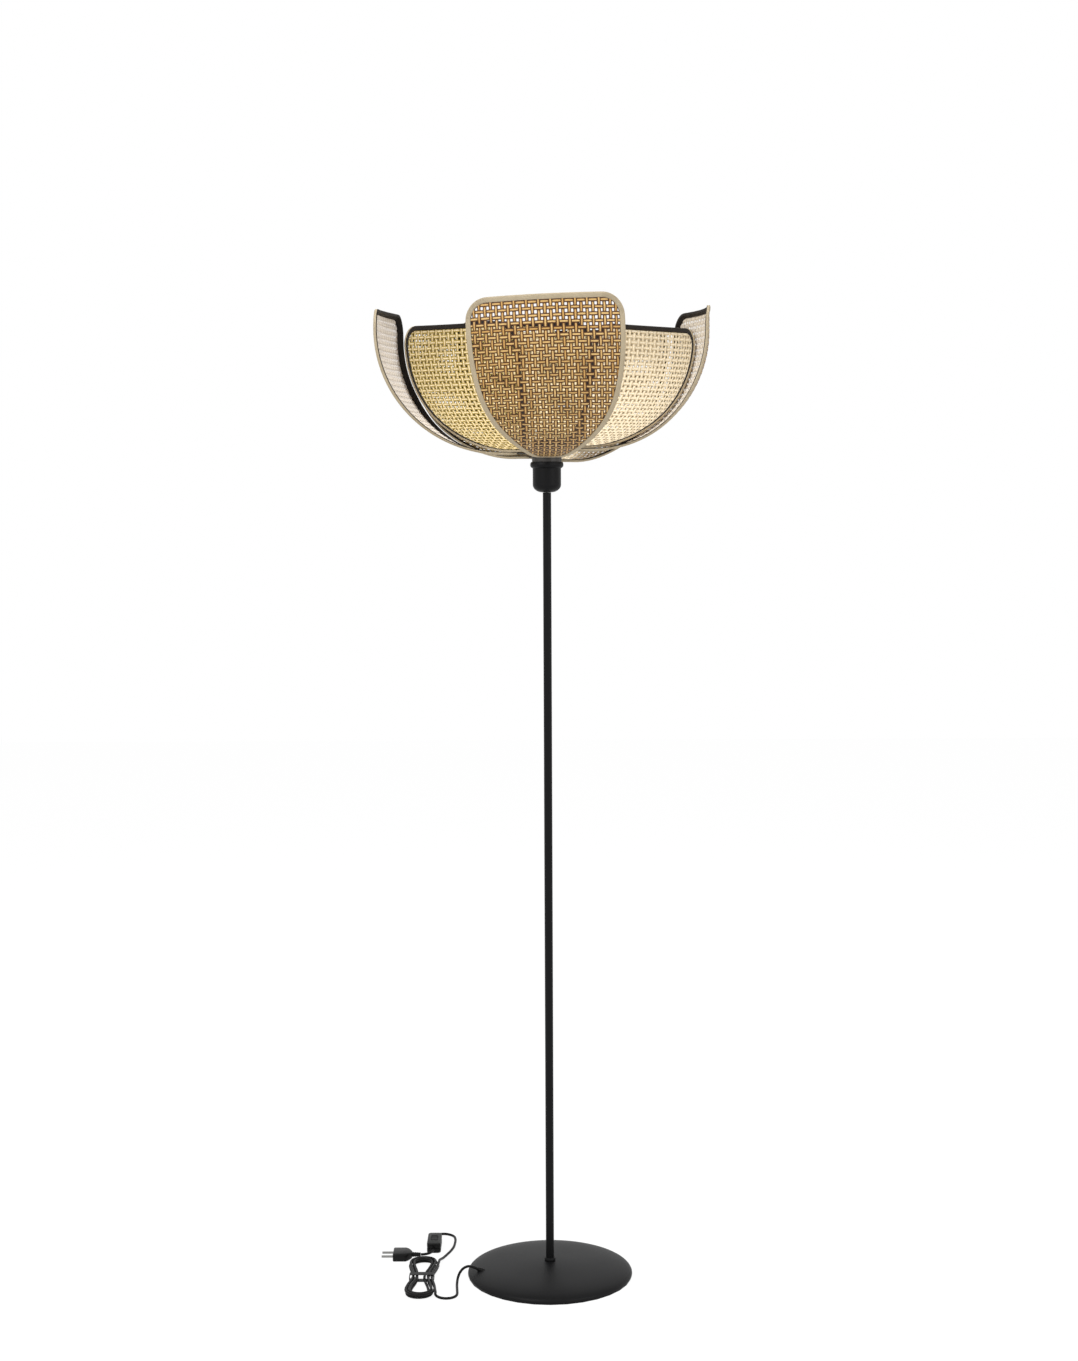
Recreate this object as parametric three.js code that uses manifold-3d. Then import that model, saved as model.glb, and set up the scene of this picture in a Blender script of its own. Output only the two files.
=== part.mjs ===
// Rattan floor lamp: a domed base, one pole, a lampholder in a cup, and a bowl of eight woven petals.
// Millimetres, +Z up, origin on the floor at the pole's axis, front of the lamp towards -Y.
import * as THREE from 'three';
import { mergeVertices } from 'three/addons/utils/BufferGeometryUtils.js';
import Module from 'manifold-3d';

const wasm = await Module();
wasm.setup();

// Clearances
const gap = 0.3;
const slideGap = 0.5;
const overrun = 2;

// Segments of round pieces
const boreSegments = 12;
const studSegments = 16;
const poleSegments = 20;
const cupSegments = 26;

// Smallest distance at which two corners count as one
const mergeReach = 1e-4;

// Base
const baseRadius = 137.5;
const baseRimHeight = 9;
const baseShoulder = 5;
const baseHeight = 24;
const baseWall = 2.5;
const rimFootShare = 0.2;
const rimEdgeShare = 0.4;
const rimTurnShare = 0.35;
const innerWallShare = 0.6;
const domeSteps = 4;
const baseSegments = 32;
const weightHeight = 9;
const weightRadius = 100;
const padThickness = 2;
const padWidth = 12;
const glandRadius = 5;
const glandLength = 20;
const glandInset = 31.5;
const glandAside = 22;
const glandLevel = 11.5;
const glandSlope = 22;
const glandInShare = 0.2;
const glandOutShare = 0.8;

// Pole
const poleRadius = 6.75;
const poleWall = 1.2;
const collarRadius = 9;
const collarHeight = 5;
const nutAcross = 17;
const nutHeight = 4;
const flangeRadius = 14;
const flangeHeight = 1.6;
const studRadius = 4.9;
const studLength = 26;
const studWall = 1.8;

// Cup and lampholder
const cupTop = 1354;
const cupRadius = 23;
const cupHeight = 49;
const cupWall = 1.4;
const cupRound = 15;
const lipRadius = 27;
const lipHeight = 10;
const cupRoundSteps = 4;
const cupDepthShare = 0.6;
const cupInsetShare = 0.4;
const cupInsetDepthShare = 0.25;
const cupFloorShare = 0.7;
const lipRiseShare = 0.2;
const lipMiddleShare = 0.5;
const cupNutShare = 0.8;
const barrelRadius = 20;
const barrelWall = 3;
const barrelFoot = 38;
const socketRadius = 14.5;
const socketDepth = 34;
const contactRadius = 4;
const contactHeight = 3;
const ringNutRadius = 26;
const ringNutHeight = 6;
const barrelSpare = 4;

// Stack of petal rings round the lampholder, the outermost petal's ring at the bottom
const ringRadius = 24;
const ringsPerLayer = [1, 2, 2, 2, 1];
const layerPitch = 5.5;
const middleLayer = 2;
const armThickness = 1.2;
const armWidth = 8;
const armLevel = 14;

// Petals
const bowlRadius = 265;
const bowlFlat = 73;
const petalRise = 41;
const petalHalfWidth = 121.5;
const petalTip = 49;
const cornerRadius = 34;
const wireRadius = 1.5;
const tapeWidth = 8.5;
const tapeLap = 2;
const tapeThickness = 0.6;
const rollWidth = 5;
const rollStart = 150;
const rollRun = 120;
const caneThickness = 1.2;
const widthShares = [0.05, 0.14, 0.2, 0.325, 0.455, 0.603, 0.735, 0.84, 0.91, 0.962, 0.992, 1];
const lengthShares = [0.004, 0.03, 0.085, 0.194, 0.28, 0.367, 0.448, 0.53, 0.61, 0.7, 0.79, 0.89];
const cornerSteps = 4;
const topSteps = 6;

// Where each petal stands round the pole, in degrees from the front, its layer, 0 for the
// outermost, how far its top lies below the highest, how far it leans sideways and up across,
// the radius of its section where that is flatter than the bowl, and its lining's extra depth
const petals = [
  { name: 'front', azimuth: 3, layer: 1, tilt: -1.3, lean: 0.042, drop: 6, section: 0, roll: 0 },
  { name: 'left', azimuth: -94.8, layer: 2, tilt: 0, lean: -0.04, drop: 5, section: 1500, roll: 7 },
  { name: 'right', azimuth: 97.4, layer: 3, tilt: 0, lean: 0.018, drop: 2, section: 360, roll: 4 },
  { name: 'back', azimuth: -171, layer: 2, tilt: 0, lean: 0, drop: 0, section: 0, roll: 0 },
  { name: 'left_rear_inner', azimuth: -146, layer: 3, tilt: 1.5, lean: -0.095, drop: 9, section: 0, roll: 0 },
  { name: 'right_rear_inner', azimuth: 137, layer: 4, tilt: -1.5, lean: 0.11, drop: 17, section: 0, roll: 0 },
  { name: 'left_rear_outer', azimuth: -148, layer: 1, tilt: 0, lean: 0, drop: 15, section: 0, roll: 0 },
  { name: 'right_rear_outer', azimuth: 157, layer: 0, tilt: 0, lean: 0, drop: 15, section: 0, roll: 0 },
];

// Cord, switch and plug
const cordRadius = 2.2;
const hankLoops = 4.25;
const hankSteps = 24;
const hankSides = 6;
const hankCentre = [-213.5, -28];
const hankHalfLength = 62;
const hankHalfWidth = 13.5;
const hankPitch = 5.8;
const hankWaist = 4.4;
const hankWaistPitch = 6.2;
const tieWidth = 7;
const tieThickness = 0.8;
const switchLength = 56;
const switchWidth = 24;
const switchHeight = 17;
const switchCentre = [-200, 126];
const rockerLength = 18;
const rockerWidth = 11;
const rockerTilt = 7;
const rockerSink = 3.5;
const rockerClear = 0.8;
const rockerTop = 1.6;
const rockerDip = 0.9;
const switchWall = 2;
const plugLength = 33;
const plugWidth = 34;
const plugHeight = 14;
const plugNose = 22;
const plugFace = [-268, 74];
const pinRadius = 2;
const pinLength = 19;
const pinSpacing = 18.6;
const reliefLength = 14;
const reliefRadius = 3.6;

const turn = Math.PI / 180;

const finishes = {
  powder: new THREE.MeshStandardMaterial({ color: 0x1d1d1e, roughness: 0.55, metalness: 0.2 }),
  steel: new THREE.MeshStandardMaterial({ color: 0x9a9a98, roughness: 0.35, metalness: 0.9 }),
  iron: new THREE.MeshStandardMaterial({ color: 0x4c4b49, roughness: 0.8, metalness: 0.5 }),
  rubber: new THREE.MeshStandardMaterial({ color: 0x161616, roughness: 0.8, metalness: 0 }),
  plastic: new THREE.MeshStandardMaterial({ color: 0x121212, roughness: 0.4, metalness: 0 }),
  ceramic: new THREE.MeshStandardMaterial({ color: 0xe8e4da, roughness: 0.4, metalness: 0 }),
  brass: new THREE.MeshStandardMaterial({ color: 0xb59a52, roughness: 0.35, metalness: 0.9 }),
  cane: new THREE.MeshStandardMaterial({ color: 0xd2ab6e, roughness: 0.6, metalness: 0 }),
  beige: new THREE.MeshStandardMaterial({ color: 0xb3a48c, roughness: 0.9, metalness: 0 }),
  black: new THREE.MeshStandardMaterial({ color: 0x24201c, roughness: 0.9, metalness: 0 }),
};

const lamp = new THREE.Group();

function place(name, geometry, finish) {
  const mesh = new THREE.Mesh(geometry, finishes[finish].clone());
  mesh.name = name;
  lamp.add(mesh);
  return mesh;
}

// Joins and cuts

function toSolid(geometry) {
  const bare = geometry.clone();
  bare.deleteAttribute('normal');
  bare.deleteAttribute('uv');
  const merged = mergeVertices(bare, mergeReach);
  return new wasm.Manifold(new wasm.Mesh({
    numProp: 3,
    vertProperties: new Float32Array(merged.attributes.position.array),
    triVerts: new Uint32Array(merged.index.array),
  }));
}

function toGeometry(solid) {
  const mesh = solid.getMesh();
  const geometry = new THREE.BufferGeometry();
  geometry.setAttribute('position', new THREE.BufferAttribute(mesh.vertProperties, 3));
  geometry.setIndex(new THREE.BufferAttribute(mesh.triVerts, 1));
  return geometry;
}

function cut(geometry, ...tools) {
  let solid = toSolid(geometry);
  for (const tool of tools) solid = solid.subtract(toSolid(tool));
  return toGeometry(solid);
}

function join(geometry, ...others) {
  let solid = toSolid(geometry);
  for (const other of others) solid = solid.add(toSolid(other));
  return toGeometry(solid);
}

// Shapes

// A turned piece: the profile is a list of [radius, height], from axis to axis or closed on itself.
function turned(profile, segments) {
  const points = profile.map(([r, z]) => new THREE.Vector2(r, z));
  if (profile[0][0] > 0) points.push(points[0].clone());
  return new THREE.LatheGeometry(points, segments).rotateX(Math.PI / 2);
}

function ring(inner, outer, low, high, segments) {
  return turned([[inner, low], [outer, low], [outer, high], [inner, high]], segments);
}

function rod(radius, low, high, segments) {
  return new THREE.CylinderGeometry(radius, radius, high - low, segments)
    .rotateX(Math.PI / 2)
    .translate(0, 0, (low + high) / 2);
}

// A band of quads over a grid of points, closed both ways or in rows, made into one closed skin.
function skin(rows, wrapRows) {
  const count = rows[0].length;
  const positions = rows.flat(2);
  const index = [];
  const last = wrapRows ? rows.length : rows.length - 1;
  for (let i = 0; i < last; i++) {
    const next = (i + 1) % rows.length;
    for (let j = 0; j < count; j++) {
      const k = (j + 1) % count;
      const a = i * count + j;
      const b = i * count + k;
      const c = next * count + k;
      const d = next * count + j;
      index.push(a, b, c, a, c, d);
    }
  }
  if (!wrapRows) {
    const end = (rows.length - 1) * count;
    for (let j = 1; j < count - 1; j++) {
      index.push(0, j + 1, j);
      index.push(end, end + j, end + j + 1);
    }
  }
  const geometry = new THREE.BufferGeometry();
  geometry.setAttribute('position', new THREE.Float32BufferAttribute(positions, 3));
  geometry.setIndex(index);
  return faceOut(geometry);
}

// Turns a closed skin the right way round where its volume comes out negative.
function faceOut(geometry) {
  const p = geometry.attributes.position;
  const index = geometry.index.array;
  const a = new THREE.Vector3();
  const b = new THREE.Vector3();
  const c = new THREE.Vector3();
  let volume = 0;
  for (let i = 0; i < index.length; i += 3) {
    a.fromBufferAttribute(p, index[i]);
    b.fromBufferAttribute(p, index[i + 1]);
    c.fromBufferAttribute(p, index[i + 2]);
    volume += a.dot(b.cross(c));
  }
  if (volume < 0) {
    for (let i = 0; i < index.length; i += 3) {
      const swap = index[i + 1];
      index[i + 1] = index[i + 2];
      index[i + 2] = swap;
    }
  }
  return geometry;
}

// A tube of many sides along a list of points, its section turned by the least twist.
function tube(points, radius, sides, floorCut) {
  const path = points.map((p) => new THREE.Vector3(...p));
  let side = new THREE.Vector3(0, 0, 1);
  const rows = path.map((point, i) => {
    const before = path[Math.max(0, i - 1)];
    const after = path[Math.min(path.length - 1, i + 1)];
    const along = after.clone().sub(before).normalize();
    side = side.sub(along.clone().multiplyScalar(side.dot(along))).normalize();
    const across = along.clone().cross(side);
    return Array.from({ length: sides }, (_, j) => {
      const angle = (j + floorCut) * 2 * Math.PI / sides;
      const offset = side.clone().multiplyScalar(Math.cos(angle) * radius)
        .add(across.clone().multiplyScalar(Math.sin(angle) * radius));
      return point.clone().add(offset).toArray();
    });
  });
  return skin(rows, false);
}

// Base: domed shell, cast weight inside, floor pad

const baseBottom = padThickness;
const domeProfile = [
  [baseRadius - baseShoulder * rimFootShare, baseBottom],
  [baseRadius, baseBottom + baseShoulder * rimEdgeShare],
  [baseRadius, baseRimHeight - baseShoulder * rimEdgeShare],
  [baseRadius - baseShoulder * rimTurnShare, baseRimHeight],
  [baseRadius - baseShoulder, baseRimHeight + baseShoulder * rimTurnShare],
];
const rimPoints = domeProfile.length;
for (let i = 1; i <= domeSteps; i++) {
  const share = i / domeSteps;
  const start = domeProfile[rimPoints - 1];
  domeProfile.push([
    start[0] + (collarRadius - start[0]) * share,
    start[1] + (baseHeight - start[1]) * Math.sin(share * Math.PI / 2),
  ]);
}
const studHole = studRadius + slideGap;
const innerProfile = domeProfile.slice().reverse().map(([r, z]) => [
  Math.max(studHole, r - baseWall * innerWallShare),
  z - baseWall,
]).filter(([, z]) => z > baseBottom + baseWall);
const weightTop = baseBottom + weightHeight;
const shellProfile = [
  [baseRadius - baseWall, baseBottom],
  ...domeProfile,
  [studHole, baseHeight],
  [studHole, baseHeight - baseWall],
  ...innerProfile,
  [baseRadius - baseWall, baseRimHeight - baseShoulder * rimEdgeShare],
];
const shellSolid = turned(shellProfile, baseSegments);

// A round rod along the cord's slanted way out of the dome, from below the dome to outside it
const glandSeat = [glandInset - baseRadius, -glandAside, glandLevel];
function alongGland(radius, start, end, segments) {
  return rod(radius, start, end, segments)
    .rotateY(-(90 - glandSlope) * turn)
    .translate(...glandSeat);
}
const glandHole = alongGland(glandRadius + gap, -glandLength, glandLength, boreSegments);
place('base_shell', cut(shellSolid, glandHole), 'powder');

const weightDisc = ring(studHole, weightRadius, baseBottom, weightTop, baseSegments);
const weightNotch = alongGland(glandRadius + overrun, -glandLength, glandLength, boreSegments);
const nutSpace = nutHeight + flangeHeight + overrun;
const nutPocket = rod(flangeRadius + overrun, baseBottom - overrun, baseBottom + nutSpace, studSegments);
place('base_weight', cut(weightDisc, nutPocket, weightNotch), 'iron');

const padOuter = baseRadius - baseShoulder * rimFootShare;
place('base_pad', ring(padOuter - padWidth, padOuter, 0, baseBottom - gap, baseSegments), 'rubber');

// Pole: stud, nut and washer under the base, collar on it, tube up to the cup

const cupBottom = cupTop - cupHeight;
const poleFoot = baseHeight + gap;
const poleEnd = cupBottom - gap;
place('pole', ring(poleRadius - poleWall, poleRadius, poleFoot, poleEnd, poleSegments), 'powder');
const collarTop = poleFoot + collarHeight;
place('pole_collar', ring(poleRadius + gap, collarRadius, poleFoot, collarTop, poleSegments), 'powder');

const studBore = studRadius - studWall;
const nutLow = baseBottom + gap;
const flangeLow = nutLow + nutHeight;
const studTop = poleFoot + studLength;
place('foot_stud', ring(studBore, studRadius, nutLow, studTop, studSegments), 'steel');
const hexSides = 6;
const hexagon = (across, inner, low, high) => cut(
  rod(across / 2 / Math.cos(Math.PI / hexSides), low, high, hexSides),
  rod(inner, low - overrun, high + overrun, studSegments),
);
const footHex = hexagon(nutAcross, studRadius + gap, nutLow, flangeLow + flangeHeight / 2);
const footFlange = ring(studRadius + gap, flangeRadius, flangeLow, flangeLow + flangeHeight, studSegments);
place('foot_nut', join(footHex, footFlange), 'steel');

// Cup: rounded bottom, straight side, swollen lip

const cupInner = cupRadius - cupWall;
const nippleRadius = studRadius;
const cupHole = nippleRadius + gap;
const cupOutline = [];
for (let i = 0; i <= cupRoundSteps; i++) {
  const angle = i / cupRoundSteps * Math.PI / 2;
  cupOutline.push([
    cupRadius - cupRound + cupRound * Math.sin(angle),
    cupBottom + cupRound * cupDepthShare * (1 - Math.cos(angle)),
  ]);
}
const lipStart = cupTop - lipHeight;
place('cup', turned([
  [cupHole, cupBottom],
  ...cupOutline,
  [cupRadius, lipStart],
  [lipRadius - cupWall, lipStart + lipHeight * lipRiseShare],
  [lipRadius, lipStart + lipHeight * lipMiddleShare],
  [lipRadius - cupWall, cupTop],
  [cupInner, cupTop],
  [cupInner, cupBottom + cupRound * cupDepthShare],
  [cupInner - cupRound * cupInsetShare, cupBottom + cupRound * cupInsetDepthShare],
  [cupInner - cupRound * cupFloorShare, cupBottom + cupWall],
  [cupHole, cupBottom + cupWall],
], cupSegments), 'powder');

// Nipple and nut that hold the cup to the pole, lampholder standing on them
const barrelLow = cupTop - barrelFoot;
const nippleLow = cupBottom - studLength / 2;
place('nipple', ring(studBore, nippleRadius, nippleLow, barrelLow - gap, studSegments), 'steel');
const cupNutLow = cupBottom + cupWall + gap;
const cupNutAcross = nutAcross * cupNutShare;
const cupNut = hexagon(cupNutAcross, nippleRadius + gap, cupNutLow, cupNutLow + nutHeight);
place('cup_nut', cupNut, 'steel');

// The stack of rings starts on the lip and is clamped by the ring nut
const stackBase = cupTop + gap;
const layerLow = (layer) => stackBase + layer * layerPitch;
const levelOf = (layer) => layerLow(layer) + (layerPitch - gap) / 2;
const ringNutLow = layerLow(ringsPerLayer.length);
const barrelTop = ringNutLow + ringNutHeight + barrelSpare;
const socketFloor = barrelTop - socketDepth;
const barrelInner = barrelRadius - barrelWall;
place('lampholder_body', turned([
  [studHole, barrelLow],
  [barrelRadius, barrelLow],
  [barrelRadius, barrelTop],
  [barrelInner, barrelTop],
  [barrelInner, barrelLow + barrelWall],
  [studHole, barrelLow + barrelWall],
], cupSegments), 'plastic');
const insertLow = barrelLow + barrelWall + gap;
const insertRadius = barrelInner - gap;
place('lampholder_insert', turned([
  [0, insertLow],
  [insertRadius, insertLow],
  [insertRadius, barrelTop - barrelSpare / 2],
  [socketRadius, barrelTop - barrelSpare / 2],
  [socketRadius, socketFloor],
  [0, socketFloor],
], poleSegments), 'ceramic');
const contactLow = socketFloor + gap;
const contactTop = contactLow + contactHeight;
place('lampholder_contact', rod(contactRadius, contactLow, contactTop, boreSegments), 'brass');
const ringNutTop = ringNutLow + ringNutHeight;
const ringNut = ring(barrelRadius + gap, ringNutRadius, ringNutLow, ringNutTop, cupSegments);
place('ring_nut', ringNut, 'plastic');

// Petals: a point on a petal is given by t across, s along it from the pole's axis, n outwards

function petalPoint(petal, t, s, n) {
  const arc = petalArc(petal);
  const reach = (s - petalTip) / (petalLength(petal) - petalTip);
  const run = s + petal.lean * t * reach;
  const bend = Math.min(Math.max((run - bowlFlat) / arc, 0), Math.PI / 2);
  const rest = Math.max(0, run - bowlFlat - arc * Math.PI / 2);
  const radius = Math.min(run, bowlFlat) + arc * Math.sin(bend);
  const height = levelOf(petal.layer) + arc * (1 - Math.cos(bend)) + rest;
  const section = Math.max(radius, petal.section);
  const across = t / section;
  const skinOut = n * Math.sin(bend);
  const outward = radius - section + (section + skinOut) * Math.cos(across);
  const sideways = (section + skinOut) * Math.sin(across);
  const angle = (petal.azimuth + petal.tilt * (s - petalTip) / petalHalfWidth) * turn;
  return [
    outward * Math.sin(angle) + sideways * Math.cos(angle),
    sideways * Math.sin(angle) - outward * Math.cos(angle),
    height - n * Math.cos(bend),
  ];
}

function petalArc(petal) {
  return bowlRadius + (middleLayer - petal.layer) * layerPitch - bowlFlat;
}

function petalLength(petal) {
  return bowlFlat + petalArc(petal) * Math.PI / 2 + petalRise - petal.drop;
}

// The outline from the tip up the right side, over the top and down the left side, as [t, s]
function petalOutline(petal) {
  const end = petalLength(petal);
  const length = end - petalTip;
  const side = widthShares.map((share, i) => [
    share * petalHalfWidth,
    petalTip + lengthShares[i] * length,
  ]);
  const flank = petalHalfWidth - cornerRadius;
  for (let i = 1; i <= cornerSteps; i++) {
    const angle = i / cornerSteps * Math.PI / 2;
    side.push([flank + cornerRadius * Math.cos(angle), end - cornerRadius * (1 - Math.sin(angle))]);
  }
  const top = [];
  for (let i = 1; i < topSteps; i++) top.push([flank * (1 - 2 * i / topSteps), end]);
  const left = side.slice().reverse().map(([t, s]) => [-t, s]);
  return { loop: [...side, ...top, ...left], side: side.length };
}

// Moves each point of the outline inwards, square to it
function inset(loop, distance) {
  return loop.map(([t, s], i) => {
    const before = loop[(i + loop.length - 1) % loop.length];
    const after = loop[(i + 1) % loop.length];
    const dt = after[0] - before[0];
    const ds = after[1] - before[1];
    const length = Math.hypot(dt, ds);
    return [t - ds / length * distance, s + dt / length * distance];
  });
}

// How much of its extra depth a lining has at a distance along the petal
const rollShare = (s) => Math.min(Math.max((s - rollStart) / rollRun, 0), 1);

// A closed band along the outline; its section is a list of [inwards, outwards from the
// surface, extra depth]
function petalBand(petal, loop, section) {
  const offsets = section.map(([inwards]) => inset(loop, inwards));
  return skin(loop.map(([, s], i) => (
    section.map(([, n, roll], j) => (
      petalPoint(petal, offsets[j][i][0], offsets[j][i][1], n - roll * rollShare(s))
    ))
  )), true);
}

// The woven panel inside the wire: its rows end at the outline's own points
function petalPanel(petal, outline) {
  const edge = inset(outline.loop, wireRadius + gap);
  const right = edge.slice(0, outline.side);
  const left = edge.slice(-outline.side).reverse();
  const columns = topSteps;
  const half = caneThickness / 2;
  const rows = right.map((end, i) => {
    const face = (n) => Array.from({ length: columns + 1 }, (_, j) => {
      const share = j / columns;
      const t = left[i][0] + (end[0] - left[i][0]) * share;
      const s = left[i][1] + (end[1] - left[i][1]) * share;
      return petalPoint(petal, t, s, n);
    });
    return [...face(half), ...face(-half).reverse()];
  });
  const count = rows[0].length;
  const index = [];
  for (let i = 0; i < rows.length - 1; i++) {
    for (let j = 0; j < count; j++) {
      const k = (j + 1) % count;
      const a = i * count + j;
      const b = i * count + k;
      const c = b + count;
      const d = a + count;
      index.push(a, b, c, a, c, d);
    }
  }
  for (const [row, flip] of [[0, false], [rows.length - 1, true]]) {
    for (let j = 0; j < columns; j++) {
      const a = row * count + j;
      const b = a + 1;
      const c = row * count + count - 2 - j;
      const d = c + 1;
      if (flip) index.push(a, b, c, a, c, d);
      else index.push(a, c, b, a, d, c);
    }
  }
  const geometry = new THREE.BufferGeometry();
  geometry.setAttribute('position', new THREE.Float32BufferAttribute(rows.flat(2), 3));
  geometry.setIndex(index);
  return faceOut(geometry);
}

// The ring round the lampholder with the arm that carries the petal's wire
function petalArm(petal, seat, wireStart) {
  const pitch = layerPitch / ringsPerLayer[petal.layer];
  const low = layerLow(petal.layer) + seat * pitch;
  const high = low + pitch - gap;
  const level = (low + high) / 2;
  const half = armThickness / 2;
  const home = levelOf(petal.layer);
  const end = wireStart - wireRadius / 2;
  const bendStart = ringRadius + overrun;
  const bendEnd = bendStart + armLevel;
  const start = ringRadius - overrun / 2;
  const shape = new THREE.Shape([
    new THREE.Vector2(start, level - half),
    new THREE.Vector2(bendStart, level - half),
    new THREE.Vector2(bendEnd, home - half),
    new THREE.Vector2(end, home - half),
    new THREE.Vector2(end, home + half),
    new THREE.Vector2(bendEnd, home + half),
    new THREE.Vector2(bendStart, level + half),
    new THREE.Vector2(start, level + half),
  ]);
  const arm = new THREE.ExtrudeGeometry(shape, { depth: armWidth, bevelEnabled: false })
    .translate(0, 0, -armWidth / 2)
    .rotateX(Math.PI / 2)
    .rotateZ((petal.azimuth - 90) * turn);
  const loop = ring(barrelRadius + slideGap, ringRadius, low, high, poleSegments);
  return [loop, arm];
}

const filled = ringsPerLayer.map(() => 0);
for (const petal of petals) {
  const outline = petalOutline(petal);
  const wireSection = [
    [wireRadius, 0, 0], [0, wireRadius, 0], [-wireRadius, 0, 0], [0, -wireRadius, 0],
  ];
  const wire = petalBand(petal, outline.loop, wireSection);
  const near = wireRadius + gap;
  const far = near + tapeThickness;
  const inner = tapeWidth - tapeLap;
  const outerTape = petalBand(petal, outline.loop, [
    [inner, near, 0], [inner, far, 0], [-tapeLap, far, 0], [-tapeLap, near, 0],
  ]);
  const innerTape = petalBand(petal, outline.loop, [
    [inner, -far, 0], [inner, -near, 0], [-tapeLap, -near, 0], [-tapeLap, -far, petal.roll],
    [rollWidth - tapeLap, -far, petal.roll],
  ]);
  const [loop, arm] = petalArm(petal, filled[petal.layer], outline.loop[0][1]);
  filled[petal.layer] += 1;
  place(`petal_${petal.name}_frame`, join(wire, arm, loop), 'steel');
  place(`petal_${petal.name}_cane`, petalPanel(petal, outline), 'cane');
  place(`petal_${petal.name}_outer_tape`, outerTape, 'beige');
  place(`petal_${petal.name}_inner_tape`, innerTape, 'black');
}

// Cord gland in the dome, and the cord's free stretches, hank, switch and plug

const glandBore = cordRadius + gap;
const glandOut = glandLength * glandOutShare;
const glandCore = alongGland(glandRadius, -glandLength * glandInShare, glandOut, boreSegments);
const glandBoreRod = alongGland(glandBore, -glandLength, 2 * glandLength, boreSegments);
place('cord_gland', cut(glandCore, glandBoreRod), 'rubber');

const cordFloor = cordRadius + gap / 2;
const hankFloor = cordRadius + tieThickness + gap;

// Hank: straight runs with round ends, in two layers, in at a steady rate below and out again above
function hankPoints() {
  const middle = hankLoops / 2;
  const points = [];
  const total = Math.round(hankLoops * hankSteps);
  for (let i = 0; i <= total; i++) {
    const along = i / hankSteps;
    const rank = Math.abs(along - middle);
    const width = hankHalfWidth + rank * hankPitch;
    const waist = hankWaist + rank * hankWaistPitch;
    const stage = ((along % 1) + 7 / 8) % 1;
    const [x, y] = hankLoop(stage, width, waist);
    const climb = Math.min(Math.max((along - middle) * 2 + 0.5, 0), 1);
    points.push([hankCentre[0] + x, hankCentre[1] + y, hankFloor + climb * hankPitch]);
  }
  return points;
}

// One point of a loop; stage 0 is the middle of the right run, and the loop goes round by the back
function hankLoop(stage, width, waist) {
  const run = (y) => {
    const share = y / hankHalfLength;
    const drawn = 0.5 + 0.5 * Math.cos(Math.PI * share);
    return width + (waist - width) * drawn;
  };
  if (stage < 1 / 8) {
    const y = stage * 8 * hankHalfLength;
    return [run(y), y];
  }
  if (stage < 3 / 8) {
    const angle = (stage - 1 / 8) * 4 * Math.PI;
    return [width * Math.cos(angle), hankHalfLength + width * Math.sin(angle)];
  }
  if (stage < 5 / 8) {
    const y = (1 / 2 - stage) * 8 * hankHalfLength;
    return [-run(y), y];
  }
  if (stage < 7 / 8) {
    const angle = Math.PI + (stage - 5 / 8) * 4 * Math.PI;
    return [width * Math.cos(angle), -hankHalfLength + width * Math.sin(angle)];
  }
  const y = (stage - 1) * 8 * hankHalfLength;
  return [run(y), y];
}

const hank = hankPoints();

// Least distance between two places on the hank that lie more than a few diameters apart along it
function leastSelfGap(points) {
  const fine = [];
  const steps = 4;
  for (let i = 0; i < points.length - 1; i++) {
    for (let j = 0; j < steps; j++) {
      fine.push(points[i].map((v, k) => v + (points[i + 1][k] - v) * j / steps));
    }
  }
  const lengths = [0];
  for (let i = 1; i < fine.length; i++) {
    lengths.push(lengths[i - 1] + Math.hypot(...fine[i].map((v, k) => v - fine[i - 1][k])));
  }
  let least = Infinity;
  for (let i = 0; i < fine.length; i++) {
    for (let j = i + 1; j < fine.length; j++) {
      if (lengths[j] - lengths[i] < 12 * cordRadius) continue;
      least = Math.min(least, Math.hypot(...fine[i].map((v, k) => v - fine[j][k])));
    }
  }
  return { gap: least - 2 * cordRadius, length: lengths[lengths.length - 1] };
}
const hankMeasure = leastSelfGap(hank);
console.log('hank: least gap to itself', hankMeasure.gap.toFixed(2), 'length', hankMeasure.length.toFixed(0));
place('cord_hank', tube(hank, cordRadius, hankSides, 0.5), 'rubber');

// Tie round the waist of the hank
const tieHalf = hankWaist + hankLoops / 2 * hankWaistPitch + cordRadius + gap;
const tieTop = hankFloor + hankPitch + cordRadius + gap;
const box = (halfX, low, high) => new THREE.Shape([
  new THREE.Vector2(-halfX, low),
  new THREE.Vector2(halfX, low),
  new THREE.Vector2(halfX, high),
  new THREE.Vector2(-halfX, high),
]);
const tieShape = box(tieHalf + tieThickness, 0, tieTop + tieThickness);
tieShape.holes.push(box(tieHalf, tieThickness, tieTop));
const tie = new THREE.ExtrudeGeometry(tieShape, { depth: tieWidth, bevelEnabled: false })
  .rotateX(Math.PI / 2)
  .translate(hankCentre[0], hankCentre[1] + tieWidth / 2, 0);
place('hank_tie', tie, 'rubber');

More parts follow.
